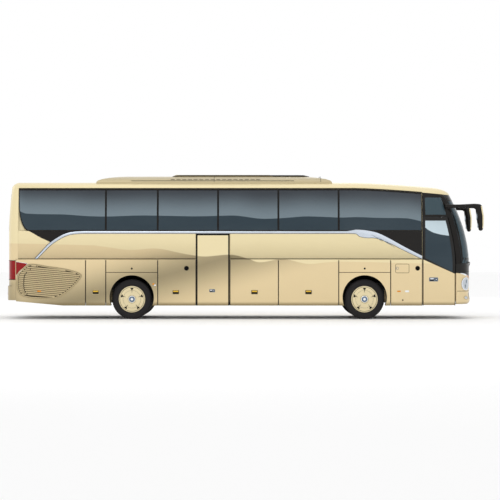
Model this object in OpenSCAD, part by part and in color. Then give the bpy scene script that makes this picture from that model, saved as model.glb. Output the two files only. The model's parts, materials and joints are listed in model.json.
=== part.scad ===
// A high-deck touring coach with two axles, built from separate panels, doors, flaps, axles and wheels.
// +X points forwards, +Y to the left, +Z up, in millimetres, with the wheels standing on z = 0.

/* [Body] */
// Length of the body without the mirrors
body_l = 12250; // [11500:50:13200]
// Width across the side panels
body_w = 2550; // [2450:10:2600]
// Height of the roof skin above the ground
roof_z = 3605; // [3560:5:3700]
// Height of the lower edge of the skirt
skirt_z = 356; // [300:2:380]
// Height of the upper faces of the deck plate
deck_z = 1530; // [1480:5:1560]
// Height of the window sill, where the sides start to lean in
sill_z = 2311; // [2200:1:2400]
// Height of the eaves, where the roof skin starts
eave_z = 3424; // [3380:1:3460]
// How far each side leans in between the sill and the eaves
lean = 80; // [40:5:120]
// Thickness of walls, doors and flaps
wall = 60; // [45:1:70]

/* [Running gear] */
// Distance from the front of the body to the front axle
front_overhang = 2839; // [2600:1:3000]
// Distance between the two axles
wheelbase = 6102; // [5600:1:6400]
// Radius of a tyre
tyre_r = 522; // [495:1:530]
// Width of a tyre
tyre_w = 295; // [275:1:315]
// Distance from the middle of the coach to the middle of an outer tyre
track_half = 1050; // [1030:1:1060]
// Radius of a rim's barrel, where the tyre sits
rim_r = 290; // [280:1:300]
// Radius of the wheel covers
cover_r = 345; // [320:1:350]
// Distance between the middles of twin tyres
twin_gap = 336; // [325:1:350]
// Distance from a kingpin to the middle of its tyre
kingpin_in = 120; // [110:1:130]
// Radius of the wheel arches
arch_r = 580; // [570:1:600]
// Height of the middle of the wheel arches above the hubs
arch_up = 50; // [40:1:60]

/* [Doors and flaps] */
// Width of the front door
front_door_w = 883; // [800:1:900]
// Distance from the front of the body to the front door's front edge
front_door_x = 443; // [420:1:480]
// Height of the front door's upper edge
front_door_top = 2672; // [2600:1:2760]
// Width of the middle door
mid_door_w = 891; // [800:1:950]
// Distance from the rear arch panel to the middle door
mid_door_x = 1002; // [900:1:1100]
// Height of the middle door's upper edge
mid_door_top = 2237; // [2150:1:2260]
// Length of each service flap behind the rear wheels
service_l = 530; // [450:1:600]
// Distance from the middle of a wheel to the end of its arch panel
arch_half = 680; // [670:1:720]
// Gap around doors and flaps
gap = 8; // [6:0.5:10]
// Clearance at hinge beads, pins and bearings
fit = 0.3; // [0.2:0.05:0.5]
// Radius of the bead that each flap hangs on
bead_r = 6; // [5:0.5:7]
// Distance from the door post to the pin on the front door, along the coach
door_arm_x = 440; // [400:5:460]

/* [Glass and roof] */
// Thickness of the panes
glass = 12; // [8:1:16]
// Depth of the recess that the side panes lie in
recess = 20; // [16:1:24]
// How far the roof drops from the last side window to the windscreen
brow_drop = 160; // [120:5:180]
// Length of the climate unit on the roof
pod_l = 6215; // [5400:5:6400]
// Width of the climate unit
pod_w = 1960; // [1700:10:2050]
// Height of the climate unit above the roof
pod_h = 166; // [120:1:200]
// Height of the cover on the climate unit
cover_h = 36; // [20:1:60]
// How far the mirrors reach in front of the body
mirror_reach = 293; // [240:1:320]

/* [Seats] */
// Distance between two rows of seats
seat_pitch = 820; // [780:5:900]
// Width of a pair of seats
seat_w = 880; // [800:10:900]
// Height of a seat's back above the deck
seat_h = 1150; // [1000:10:1200]

/* [Hidden] */
$fn = 64;

RIGHT = -1;
LEFT = 1;

// Stations along the coach
x_rear = -(body_l + mirror_reach) / 2;
x_front = x_rear + body_l;
half_w = body_w / 2;
x_fa = x_front - front_overhang;
x_ra = x_fa - wheelbase;
hub_z = tyre_r;
x_corner = x_rear + 270;                       // rear corner, low down
x_corner_up = x_rear + 331;                    // rear corner, beside the windows
x_door_f = x_front - front_door_x;
x_door_r = x_door_f - front_door_w;
x_hold_r = x_ra + arch_half;                   // luggage hold, rear end
x_hold_f = x_fa - arch_half;                   // luggage hold, front end
bay = (x_hold_f - x_hold_r) / 3;
x_mid_r = x_hold_r + mid_door_x;
x_mid_f = x_mid_r + mid_door_w;
x_service_r = x_ra - arch_half - service_l;
x_rise = x_ra - 1800;                          // where the underside starts to rise to the rear
tail_rise = 140;

// Heights
deck_t = 30;
bead_z = deck_z + 31;                          // middle of the hinge beads
seam_z = bead_z + bead_r + 7;                  // lower edge of the side walls
flap_z = deck_z;                               // upper edge of a flap's full thickness
nose_z = 1433;
brow_z = 3236;
dash_z = 1446;                                 // lower edge of the windscreen
bumper_z = 735;                                // seam between front panel and bumper
tail_z = 870;                                  // seam between rear panel and bumper
header_z = front_door_top + gap;

// The skin: front and rear ends are superellipses in plan
nose_x = x_front - 15;
rake = 508;
nose_depth = 500;
nose_pow = 2 / 4.5;
tail_depth = 230;
tail_pow = 2 / 6;

function unit(v) = max(0, min(1, v));
function w_at(z) = half_w - lean * max(0, z - sill_z) / (eave_z - sill_z);
function eave(x) = eave_z - brow_drop * pow(unit((x - (x_front - 3067)) / 2388), 1.4);
// Lower edge of the skirts, rising behind the rear axle
function keel(x) = skirt_z + tail_rise * unit((x_rise - x) / (x_rise - x_rear));
// Front of the bumper, as [height, offset from the nose]
bumper_rows = [[395, -40], [430, 0], [477, 15], [530, 10], [640, -12], [735, -4], [800, 0]];
function nose(z) = nose_x + (z < nose_z ? lookup(z, bumper_rows)
    : -rake * pow((z - nose_z) / (brow_z - nose_z), 1.92));
function tail(z) = x_rear + (z < tail_z ? 0 : 31) + 77 * pow(max(0, z - 2450) / 1027, 1.5);

// Point of a superellipse of depth d and half width w at angle t, moved inwards along its normal
function plan_pt(t, d, w, p, in) = let (
    y = pow(sin(t), p), n = [2 * cos(t) / d, 2 / p * pow(y, 2 / p - 1) / w], k = in / norm(n)
) [d * cos(t) - n[0] * k, w * y - n[1] * k];
function front_xy(t, z, in) = let (p = plan_pt(t, nose_depth, w_at(z), nose_pow, in))
    [nose(z) - nose_depth + p[0], p[1], z];
function front_x(x, z, in) = let (x0 = nose(z) - nose_depth)
    x <= x0 ? [x, w_at(z) - in, z] : front_xy(acos(unit((x - x0) / nose_depth)), z, in);
function door_edge(z) = x_door_f - 205 * pow(max(0, z - 1456) / 1216, 1.6);
function screen_t(z) = 66 - 14 * pow(unit((z - dash_z) / 1800), 3);
function door_t(z) = acos(unit((door_edge(z) - nose(z) + nose_depth) / nose_depth));
// Stations round the front: 0 in the middle, 1 the windscreen's edge, 2 and 3 the front door's edges
function front_pt(s, z, in) = s <= 1 ? front_xy(screen_t(z) * s * s, z, in)
    : s <= 2 ? front_xy(screen_t(z) + (door_t(z) - screen_t(z)) * (s - 1), z, in)
    : front_x(door_edge(z) + (x_door_r - door_edge(z)) * (s - 2), z, in);
// Stations round the rear: 0 in the middle, 1 where the side starts, 2 the rear corner's seam
function rear_pt(s, z, in) = let (x0 = tail(z) + tail_depth, xc = z < seam_z ? x_corner : x_corner_up)
    s <= 1 ? let (p = plan_pt(90 * s * s, tail_depth, w_at(z), tail_pow, in)) [x0 - p[0], p[1], z]
    : [x0 + (max(xc, x0 + 2) - x0) * (s - 1), w_at(z) - in, z];
function side_sign(s, p) = [p[0], s <= 0 ? -p[1] : p[1], p[2]];
function brow(s) = eave(front_pt(abs(s), 3264, 0)[0]);

// A closed shell from two grids of points, leaving out the cells inside the holes [i0, i1, j0, j1]
function in_hole(i, j, holes) =
    len([for (h = holes) if (i >= h[0] && i < h[1] && j >= h[2] && j < h[3]) 1]) > 0;
module shell(outer, inner, holes = []) {
    ni = len(outer) - 1;
    nj = len(outer[0]) - 1;
    pts = concat([for (row = outer) for (p = row) p], [for (row = inner) for (p = row) p]);
    n = (ni + 1) * (nj + 1);
    function at(i, j) = i * (nj + 1) + j;
    function kept(i, j) = i >= 0 && i < ni && j >= 0 && j < nj && !in_hole(i, j, holes);
    faces = [
        for (i = [0:ni - 1]) for (j = [0:nj - 1]) if (kept(i, j)) let (
            a = at(i, j), b = at(i + 1, j), c = at(i + 1, j + 1), d = at(i, j + 1)
        ) each concat(
            [[a, b, c], [a, c, d], [n + a, n + c, n + b], [n + a, n + d, n + c]],
            kept(i, j - 1) ? [] : [[a, n + b, b], [a, n + a, n + b]],
            kept(i, j + 1) ? [] : [[d, c, n + c], [d, n + c, n + d]],
            kept(i - 1, j) ? [] : [[a, d, n + d], [a, n + d, n + a]],
            kept(i + 1, j) ? [] : [[b, n + c, c], [b, n + b, n + c]]
        )
    ];
    polyhedron(pts, faces, convexity = 6);
}

// A patch of the front skin between stations and heights; a height over the eaves stops at the roof
module front_patch(stations, heights, depth = 0, thick = wall, holes = [], top_gap = fit) {
    function top(s, z) = min(z, brow(s) - top_gap);
    function grid(in) = [for (s = stations) [for (z = heights) side_sign(-s, front_pt(abs(s), top(s, z), in))]];
    mirror([0, 1, 0]) shell(grid(depth), grid(depth + thick), holes);
}
module rear_patch(stations, heights, depth = 0, thick = wall, holes = []) {
    function grid(in) = [for (s = stations) [for (z = heights) side_sign(s, rear_pt(abs(s), z, in))]];
    mirror([0, 1, 0]) shell(grid(depth), grid(depth + thick), holes);
}
function steps_between(a, b, n) = [for (i = [0:n]) a + (b - a) * i / n];

// Solids along the coach from an outline across it, and through the coach from an outline along it
module along(x0, x1) translate([x0, 0, 0]) rotate([90, 0, 90]) linear_extrude(x1 - x0) children();
module across(y0, y1) translate([0, y1, 0]) rotate([90, 0, 0]) linear_extrude(y1 - y0) children();
module box(x0, x1, y0, y1, z0, z1) translate([x0, y0, z0]) cube([x1 - x0, y1 - y0, z1 - z0]);
module both_sides() for (side = [RIGHT, LEFT]) scale_y(side) children();
module scale_y(side) if (side > 0) children(); else mirror([0, 1, 0]) children();

// Outline across one side wall between two depths, from the seam over the flaps up past the eaves
function wall_band(z0, d0, d1) = let (top = eave_z + 40, k = w_at(top))
    z0 < sill_z ? [[half_w - d1, z0], [half_w - d0, z0], [half_w - d0, sill_z], [k - d0, top], [k - d1, top],
        [half_w - d1, sill_z]]
    : [[w_at(z0) - d1, z0], [w_at(z0) - d0, z0], [k - d0, top], [k - d1, top]];

roof_steps = concat(
    steps_between(x_corner_up, x_front - 3067, 8),
    steps_between(x_front - 2700, nose(3264) - nose_depth, 5)
);
eave_line = concat(
    [[x_corner_up, eave(x_corner_up)]],
    [for (x = roof_steps) if (x > x_corner_up && x < x_door_r - gap) [x, eave(x)]]
);
// Windows of one side, as [rear end, front end]
windows = [
    [x_corner_up + 8, x_ra - arch_half], [x_ra - arch_half, x_hold_r], [x_hold_r, x_hold_r + bay],
    [x_hold_r + bay, x_hold_r + 2 * bay], [x_hold_r + 2 * bay, x_hold_f], [x_hold_f, x_door_r - gap]
];
pane_gap = 10;
frame_w = 90;                                   // how far a pane laps over the wall
rear_sweep = 260;                               // how far the rear pane's edge sweeps forward at the sill
sweep_h = 750;                                  // height of that sweep
function pane_outline(row, inset) = let (
    x0 = row[0] + pane_gap / 2 + inset, x1 = row[1] - pane_gap / 2 - inset, z0 = sill_z + 4 + inset,
    swept = row[0] < x_corner_up + 20
) concat(
    swept ? [for (a = [90:-15:0]) [x0 + rear_sweep * (1 - sin(a)), z0 + sweep_h * (1 - cos(a))]] : [[x0, z0]],
    [[x1, z0], [x1, eave(x1) - 6 - inset]],
    [for (i = [len(roof_steps) - 1:-1:0]) let (x = roof_steps[i]) if (x > x0 && x < x1) [x, eave(x) - 6 - inset]],
    [[x0, eave(x0) - 6 - inset]]
);

module side_wall(side) scale_y(side) difference() {
    intersection() {
        union() {
            along(x_corner_up + 3, x_door_r - gap / 2) polygon(wall_band(seam_z, 0, wall));
            along(x_corner_up + 3, x_door_r - gap / 2)
                polygon([[half_w - 100, deck_z], [half_w - 2 * bead_r - fit, deck_z],
                    [half_w - 2 * bead_r - fit, seam_z + 1], [half_w - 100, seam_z + 1]]);
        }
        across(0, half_w + 1) polygon(concat(
            [[x_corner_up, deck_z]], eave_line, [[x_door_r - gap / 2, eave(x_door_r)], [x_door_r - gap / 2, deck_z]]
        ));
    }
    // recess for the panes, then the window openings
    intersection() {
        along(x_corner_up, x_door_r) polygon(wall_band(sill_z, -2, recess));
        box(x_corner_up + 8, x_door_r, 0, half_w + 50, sill_z, eave_z + 60);
    }
    across(0, half_w + 1) for (row = windows) polygon(pane_outline(row, frame_w));
    if (side == RIGHT) box(x_mid_r - gap, x_mid_f + gap, 0, half_w + 1, deck_z - 1, mid_door_top + gap);
}
// Strip of the frame that the middle door's bead turns against
module mid_door_frame()
    box(x_mid_f - 34, x_mid_f + gap + 1, half_w - 100, half_w - 2 * bead_r - fit, seam_z, mid_door_top + gap + 1);

module right_side() color([0.92, 0.86, 0.7]) {
    side_wall(RIGHT);
    scale_y(RIGHT) mid_door_frame();
}
module left_side() color([0.92, 0.86, 0.7]) side_wall(LEFT);

module side_windows() color([0.25, 0.3, 0.33]) both_sides() for (row = windows) intersection() {
    along(row[0], row[1]) polygon(wall_band(sill_z, 0, recess));
    across(0, half_w + 1) polygon(pane_outline(row, 0));
}

// The roof skin: a superellipse across and at both ends
roof_h = roof_z - eave_z;
roof_turns = [for (i = [0:15]) -90 + 12 * i];
module roof_skin() {
    x0f = nose(3264) - nose_depth;
    x0r = tail(eave_z) + tail_depth;
    turns = [72, 60, 48, 36, 24, 12, 4, 1];
    front = [for (t = [78, each turns]) x0f + nose_depth * cos(t)];
    rear = [for (t = [1, 12, 30, 48, 66, 78]) x0r - tail_depth * cos(t)];
    xs = concat(rear, [for (x = roof_steps) if (x > x0r) x], front);
    function uf(x) = unit((x - x0f) / nose_depth);
    function ur(x) = unit((x0r - x) / tail_depth);
    function edge(x) = x < x0r ? pow(1 - pow(ur(x), 2), tail_pow / 2) : pow(1 - pow(uf(x), 2), nose_pow / 2);
    function pt(x, v, in) = let (
        w = w_at(eave(x)), e = edge(x), y = sin(v) * e, p = 2 / (x < x0r ? tail_pow : nose_pow),
        q = unit(pow(abs(y), p) + pow(max(uf(x), ur(x)), 2)),
        cx = x > x0f ? x0f + (x - x0f) * (nose_depth - in) / nose_depth
            : x < x0r ? x0r - (x0r - x) * (tail_depth - in) / tail_depth : x
    ) [cx, y * (w - in), eave(x) + (roof_h - in) * sqrt(max(0, 1 - q))];
    shell([for (v = roof_turns) [for (x = xs) pt(x, v, 0)]], [for (v = roof_turns) [for (x = xs) pt(x, v, wall)]]);
}
module roof() color([0.94, 0.89, 0.75]) roof_skin();

// Lower edge of flaps and skirt panels: the last stretch tucks under
tuck_h = 100;
tuck = 28;
// Outline across a flap or fixed panel, from height z0 up to the hinge bead
function flap_outline(z0, tucked = true) = concat(
    tucked ? [[half_w - wall, z0], [half_w - tuck, z0], [half_w - 0.3 * tuck, z0 + 0.5 * tuck_h], [half_w, z0 + tuck_h]]
    : [[half_w - wall, z0], [half_w, z0]],
    [[half_w, bead_z], [half_w - 2 * bead_r, bead_z], [half_w - 2 * bead_r, flap_z - gap],
    [half_w - wall, flap_z - gap]]
);
module flap(x0, x1) {
    difference() {
        along(x0 + gap / 2, x1 - gap / 2) polygon(flap_outline(skirt_z));
        keel_cut();
    }
    translate([x0 + gap / 2, half_w - bead_r, bead_z]) rotate([0, 90, 0]) cylinder(r = bead_r, h = x1 - x0 - gap);
}
// Everything below the rising underside behind the rear axle
module keel_cut() across(0, half_w + 1) polygon([
    [x_rise, skirt_z], [x_rear - 10, keel(x_rear - 10)], [x_rear - 10, 0], [x_rise, 0]
]);
// A fixed panel reaches up under the side wall's foot
module fixed_panel(x0, x1, z0, z1 = 0, tucked = true) difference() {
    union() {
        along(x0 + gap / 2, x1 - gap / 2) polygon(flap_outline(z0, tucked));
        box(x0 + gap / 2, x1 - gap / 2, half_w - wall, half_w - 2 * bead_r, flap_z - gap - 1, flap_z);
    }
    keel_cut();
}

module arch_panels(side) scale_y(side) for (x = [x_fa, x_ra]) {
    difference() {
        fixed_panel(x - arch_half, x + arch_half, skirt_z);
        translate([x, half_w - wall - 1, hub_z + arch_up]) rotate([-90, 0, 0]) cylinder(r = arch_r, h = wall + 2);
    }
}
module skirts() color([0.9, 0.82, 0.65]) {
    for (side = [RIGHT, LEFT]) arch_panels(side);
    for (side = [RIGHT, LEFT]) scale_y(side)
        fixed_panel(x_fa + arch_half, x_door_r, skirt_z);
}

module side_flap(side, x0, x1) color([0.9, 0.82, 0.65]) scale_y(side) flap(x0, x1);
module right_rear_flap() side_flap(RIGHT, x_hold_r, x_mid_r);
module right_middle_flap() side_flap(RIGHT, x_mid_f, x_hold_r + 2 * bay);
module right_front_flap() side_flap(RIGHT, x_hold_r + 2 * bay, x_hold_f);
module left_rear_flap() side_flap(LEFT, x_hold_r, x_hold_r + bay);
module left_middle_flap() side_flap(LEFT, x_hold_r + bay, x_hold_r + 2 * bay);
module left_front_flap() side_flap(LEFT, x_hold_r + 2 * bay, x_hold_f);
module right_service_flap() side_flap(RIGHT, x_service_r, x_ra - arch_half);
module left_service_flap() side_flap(LEFT, x_service_r, x_ra - arch_half);
module right_engine_flap() side_flap(RIGHT, x_corner, x_service_r);
module left_engine_flap() side_flap(LEFT, x_corner, x_service_r);

// Front end
round_front = steps_between(-1, 1, 20);
lamp_low = 800;
lamp_high = 1105;
lamp_in = 0.72;                                // inner edge of a head lamp, as a station
lamp_out = 1.66;                               // outer edge of a head lamp, as a station
front_half = [0.15, 0.3, 0.45, 0.6, lamp_in, 0.81, 0.9, 1, 1.33, lamp_out, 2];
module front_panel() color([0.86, 0.78, 0.61]) front_patch(
    concat([for (i = [len(front_half) - 1:-1:0]) -front_half[i]], [0], front_half),
    [bumper_z, lamp_low, lamp_high, 1250, 1350, dash_z], holes = [[1, 6, 1, 2], [16, 21, 1, 2]]
);
module head_lamps() color([0.85, 0.88, 0.9]) both_sides()
    front_patch([lamp_in + 0.001, 0.81, 0.9, 1, 1.33, lamp_out - 0.002], [lamp_low + fit, lamp_high - fit], 6, wall - 12);
module front_bumper() color([0.86, 0.78, 0.61]) front_patch(
    concat([-1.99, -1.5], round_front, [1.5, 1.99]), [395, 430, 477, 530, 640, bumper_z]
);
screen_edge = 0.985;
wiper_z = [dash_z + 24, dash_z + 56];
module windscreen() color([0.3, 0.36, 0.38]) front_patch(
    steps_between(-screen_edge, screen_edge, 20),
    [dash_z, wiper_z[0], wiper_z[1], 1700, 1950, 2200, 2450, 2700, 2950, 3150, 3400], 0, glass, top_gap = gap
);

// Frames beside the windscreen: over the front door, and round the driver's window
frame_stations = [1, 1.25, 1.5, 1.75, 2, 2.05, 2.45, 2.88, 2.995];
frame_heights = [dash_z, 1560, 1750, 2000, 2350, header_z, header_z + 60, 2900, 3060, 3190, 3400];
module front_pillars() color([0.16, 0.15, 0.14]) {
    scale_y(RIGHT) front_patch(frame_stations, frame_heights, holes = [[4, 8, 0, 5], [5, 7, 6, 9]]);
    front_patch(frame_stations, frame_heights, holes = [[2, 7, 1, 9]]);
}
module front_side_windows() color([0.3, 0.36, 0.38]) {
    scale_y(RIGHT) front_patch([2.051, 2.2, 2.45, 2.65, 2.879], [header_z + 60 + fit, 2900, 3060, 3190 - fit], 0, glass);
    front_patch([1.508, 1.75, 2, 2.05, 2.45, 2.876],
        [1560 + fit, 1750, 2000, 2350, header_z, header_z + 60, 2900, 3060, 3190 - fit], 0, glass);
}
module driver_side_panel() color([0.86, 0.78, 0.61])
    front_patch([2.012, 2.15, 2.5, 2.993], [skirt_z + 20, 456, 900, dash_z]);

// Doors
function door_outline(z0, z1) = [
    [half_w - wall, z0], [half_w - tuck, z0], [half_w - 0.3 * tuck, z0 + 0.5 * tuck_h], [half_w, z0 + tuck_h],
    [half_w, min(z1, sill_z)], [w_at(z1), z1], [w_at(z1) - wall, z1], [half_w - wall, min(z1, sill_z)]
];
door_z = skirt_z + 14;
door_front_gap = 22;                            // rubber gap along the front door's slanting edge
door_levels = steps_between(1456, front_door_top, 6);
pane_low_r = 1600;                              // lower edge of the front door's pane at its rear
pane_low_f = 1235;                              // and at its front
pane_top = front_door_top - 90;
pane_levels = steps_between(1456, pane_top, 6);
function door_pane(d) = concat(
    [[x_door_r + 75 + d, pane_low_r + d], [door_edge(pane_low_f) - 95 - d, pane_low_f + d]],
    [for (z = pane_levels) [door_edge(z) - 95 - d, min(z, pane_top - d)]],
    [[x_door_r + 75 + d, pane_top - d]]
);
module front_door() color([0.86, 0.78, 0.61]) scale_y(RIGHT) {
    front_leaf();
    door_brackets();
}
module front_leaf() difference() {
    intersection() {
        along(x_door_r + gap / 2, x_door_f) polygon(door_outline(door_z, front_door_top));
        across(0, half_w + 1) polygon(concat(
            [[x_door_r, door_z - 1], [x_door_f - door_front_gap, door_z - 1]],
            [for (z = door_levels) [door_edge(z) - door_front_gap, z]],
            [[door_edge(front_door_top) - door_front_gap, front_door_top + 1], [x_door_r, front_door_top + 1]]
        ));
    }
    across(0, half_w + 1) polygon(door_pane(0));
}
module front_door_glass() color([0.3, 0.36, 0.38]) scale_y(RIGHT) intersection() {
    along(x_door_r, x_door_f) polygon(door_outline(door_z, front_door_top));
    across(0, half_w + 1) polygon(door_pane(fit));
    along(x_door_r, x_door_f) polygon([[half_w - glass, door_z], [half_w + 1, door_z], [half_w + 1, sill_z],
        [w_at(front_door_top) + 1, front_door_top], [w_at(front_door_top) - glass, front_door_top],
        [half_w - glass, sill_z]]);
}

// The front door hangs on a turning post: its two arms hook round the door frame
post_x = x_door_f - 115;
post_y = half_w - 275;
post_r = 25;
arm_pin_x = post_x - door_arm_x;
arm_pin_y = half_w - wall - 25;
arm_hook = 73;                                  // how far the arm bows in from the post
arm_t = 16;
pin_r = 9;
arm_heights = [620, 1120];
post_top = 1900;
tread_z = 400;                                  // upper face of the lowest entrance step
module door_pin_bores() for (z = arm_heights)
    translate([arm_pin_x, arm_pin_y, z - 30]) cylinder(r = pin_r + fit, h = 60);
module door_brackets() for (z = arm_heights) difference() {
    union() {
        box(arm_pin_x - 24, arm_pin_x + 24, arm_pin_y - 6, half_w - wall, z - 18, z - 2);
        translate([arm_pin_x, arm_pin_y, z - 18]) cylinder(r = 22, h = 16);
    }
    door_pin_bores();
}
module front_door_post() color([0.3, 0.3, 0.3]) scale_y(RIGHT) {
    translate([post_x, post_y, tread_z + fit]) cylinder(r = post_r, h = post_top - tread_z);
    for (z = arm_heights) {
        translate([0, 0, z]) linear_extrude(arm_t) {
            hull() {
                translate([post_x, post_y]) circle(r = 30);
                translate([post_x - 326, post_y - arm_hook]) circle(r = 20);
            }
            hull() {
                translate([post_x - 326, post_y - arm_hook]) circle(r = 20);
                translate([arm_pin_x, arm_pin_y]) circle(r = 18);
            }
        }
        translate([arm_pin_x, arm_pin_y, z - 20]) cylinder(r = pin_r, h = 20 + arm_t);
    }
}

// The middle door hangs on a bead along its front edge
mid_slab = 40;                                  // how far its full thickness stops short of the frame
module middle_door() color([0.86, 0.78, 0.61]) scale_y(RIGHT) {
    along(x_mid_r + gap / 2, x_mid_f - mid_slab) polygon(door_outline(skirt_z, mid_door_top));
    box(x_mid_f - mid_slab, x_mid_f - 11, half_w - 2 * bead_r, half_w, skirt_z + tuck_h, mid_door_top);
    translate([x_mid_f - 11, half_w - bead_r, skirt_z + tuck_h]) cylinder(r = bead_r, h = mid_door_top - skirt_z - tuck_h);
}

// Rear end
lid_half = half_w - 475;                                 // half the engine lid's width
lid_low = 905;
lid_high = 1960;
rear_win_half = half_w - 335;
rear_win_low = 2330;
rear_win_high = 3290;
lamp_top = 1530;
lamp_bottom = 1050;
function rear_s(y, z) = sqrt(asin(pow(y / w_at(z), 1 / tail_pow)) / 90);
lid_s = rear_s(lid_half, 1500);
win_s = rear_s(rear_win_half, 2800);
rear_half = [0.2, lid_s, win_s, 0.6, 0.68, 0.76, 0.84, 0.92, 1, 2];
rear_full = concat([for (i = [len(rear_half) - 1:-1:0]) -rear_half[i]], [0], rear_half);
rear_levels = [tail_z, lid_low, lamp_bottom, lamp_top, seam_z - 1, seam_z, lid_high, rear_win_low, 2600, 2900, 3100, rear_win_high,
    eave_z - fit];
lid_x = tail(1500);                             // outer face of the engine lid
lid_bead_z = lid_high - bead_r - 7;
module rear_end() color([0.92, 0.86, 0.7]) {
    rear_patch(rear_full, rear_levels, holes = [[8, 12, 1, 6], [7, 13, 7, 11], [1, 5, 2, 3], [15, 19, 2, 3]]);
    box(lid_x + 2 * bead_r + fit, lid_x + wall, -lid_half, lid_half, lid_high - 38, lid_high);
}
module engine_lid() color([0.92, 0.86, 0.7]) {
    box(lid_x, lid_x + wall, -lid_half + gap, lid_half - gap, lid_low + gap, lid_high - 46);
    box(lid_x, lid_x + 2 * bead_r, -lid_half + gap, lid_half - gap, lid_high - 47, lid_bead_z);
    translate([lid_x + bead_r, lid_half - gap, lid_bead_z]) rotate([90, 0, 0])
        cylinder(r = bead_r, h = 2 * (lid_half - gap));
}
module rear_window() color([0.3, 0.36, 0.38]) rear_patch(
    [for (k = [-1, -0.86, -0.6, -0.3, 0, 0.3, 0.6, 0.86, 1]) k * (win_s - 0.001)],
    [rear_win_low + fit, 2600, 2900, 3100, rear_win_high - fit], 0, glass
);
module rear_bumper() color([0.86, 0.78, 0.61])
    rear_patch(rear_full, [496, 560, 800, tail_z - 0.5]);
module tail_lamps() color([0.62, 0.02, 0.03]) both_sides() mirror([0, 1, 0])
    rear_patch([for (k = [-0.999, -0.92, -0.84, -0.76, -0.682]) k], [lamp_bottom + fit, lamp_top - fit], 0, wall);

// Climate unit on the roof, shaped to sit on the roof's crown
roof_line = [for (v = roof_turns) [w_at(eave_z) * sin(v), eave_z + roof_h * sqrt(1 - pow(abs(sin(v)), 2 / nose_pow)) + fit]];
pod_half = pod_w / 2;
pod_r = x_rear + 2353;
pod_f = pod_r + pod_l;
pod_rise = 1150;
pod_fall = 1247;
cover_r0 = pod_r + 1986;
cover_f0 = pod_f - 1537;
cover_ramp = 110;
cover_half = 640;
module climate_unit() color([0.86, 0.8, 0.64]) {
    intersection() {
        along(pod_r, pod_f) polygon(concat(
            [[-pod_half, lookup(-pod_half, roof_line)]], [for (p = roof_line) if (abs(p[0]) < pod_half) p],
            [[pod_half, lookup(pod_half, roof_line)]],
            [for (k = [10:-1:-10]) let (y = sin(9 * k)) [y * pod_half, roof_z + pod_h * sqrt(max(0, 1 - pow(abs(y), 5)))]]
        ));
        across(-pod_w, pod_w) polygon(concat(
            [[pod_r, eave_z]], [for (a = [0:15:90]) [pod_r + pod_rise * (1 - cos(a)), roof_z + pod_h * sin(a)]],
            [for (a = [90:-15:0]) [pod_f - pod_fall * (1 - cos(a)), roof_z + pod_h * sin(a)]], [[pod_f, eave_z]]
        ));
    }
    across(-cover_half, cover_half) polygon([[cover_r0, roof_z + pod_h - 6], [cover_r0 + cover_ramp, roof_z + pod_h + cover_h],
        [cover_f0 - cover_ramp, roof_z + pod_h + cover_h], [cover_f0, roof_z + pod_h - 6]]);
}

// Mirrors: a pad on the pillar, an arm along the brow and a head in front of the windscreen's corner
mirror_y = half_w - 85;
mirror_rows = [
    // x from the front, y from the middle of the head, z, radius along and radius across the coach
    [-690, 42, 2960, 48, 40], [-350, 38, 2962, 46, 42], [50, 0, 2968, 62, 60], [160, 0, 2930, 92, 100],
    [195, 0, 2700, 98, 118], [205, 0, 2480, 82, 108], [212, 0, 2375, 60, 84]
];
module mirrors() color([0.12, 0.12, 0.12]) both_sides() {
    front_patch([1.35, 1.5, 1.75, 2], [2890, 3030], -30, 30 - fit);
    for (i = [0:len(mirror_rows) - 2]) hull() for (r = [mirror_rows[i], mirror_rows[i + 1]])
        translate([x_front + r[0], mirror_y + r[1], r[2]]) scale([r[3], r[4], r[3]]) sphere(r = 1, $fn = 20);
}
module wipers() color([0.1, 0.1, 0.1]) both_sides()
    front_patch([for (k = [1:8]) k * screen_edge / 10], wiper_z, -14 - fit, 14);

// Wheel housings: a top, two ends and an inner wall over each wheel
house_half = arch_half - 20;
house_top = 1215;
house_in = 480;
plate = 12;
rail_top = 940;
rail_low = 760;
module wheel_housings() color([0.15, 0.15, 0.15]) both_sides() for (x = [x_fa, x_ra]) {
    box(x - house_half, x + house_half, house_in, half_w - wall - 2, house_top - plate, house_top);
    for (end = [-1, 1]) {
        x0 = x + end * (house_half - plate / 2) - plate / 2;
        box(x0, x0 + plate, house_in + 80, half_w - wall - 2, 420, house_top - plate);
        box(x0, x0 + plate, house_in, house_in + 80, rail_top + 5, house_top - plate);
    }
    box(x - house_half, x + house_half, house_in, house_in + plate, rail_top + 5, house_top - plate);
}

// Chassis: two pairs of rails, the floor of the luggage hold and its two bulkheads
rail_in = 380;
rail_out = 460;
hold_floor_z = 396;
deck_half = half_w - wall - 10;
x_cross_f = x_front - 379;
x_cross_r = x_rear + wall + 71;
tow_r = 20;
plate_t = 40;                                   // thickness of bulkheads, cross members and towing lugs
module hold_tray() color([0.12, 0.12, 0.12]) {
    box(x_hold_r - 20, x_hold_f + 20, -deck_half, deck_half, hold_floor_z - 30, hold_floor_z);
    for (x = [x_hold_r, x_hold_f])
        box(x - 20, x + 20, -deck_half, deck_half, hold_floor_z - 30, deck_z - deck_t);
}
module rails(x0, x1) both_sides() box(x0, x1, rail_in, rail_out, rail_low, rail_top);
module tow_lug(x, x0, x1, z) difference() {
    box(x0, x1, -60, 60, z, z + plate_t);
    translate([x, 0, z - 1]) cylinder(r = tow_r, h = plate_t + 2);
}
module front_frame() color([0.12, 0.12, 0.12]) {
    rails(x_hold_f + 20, x_cross_f - fit);
    box(x_cross_f, x_cross_f + plate_t, 275 - half_w, half_w - 275, 480, rail_top);
    box(x_cross_f + plate_t + fit, nose_x - wall - fit, -60, 60, 905, rail_top);
    tow_lug(x_cross_f + 80, x_cross_f + plate_t - 1, x_cross_f + 120, 480);
}
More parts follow.
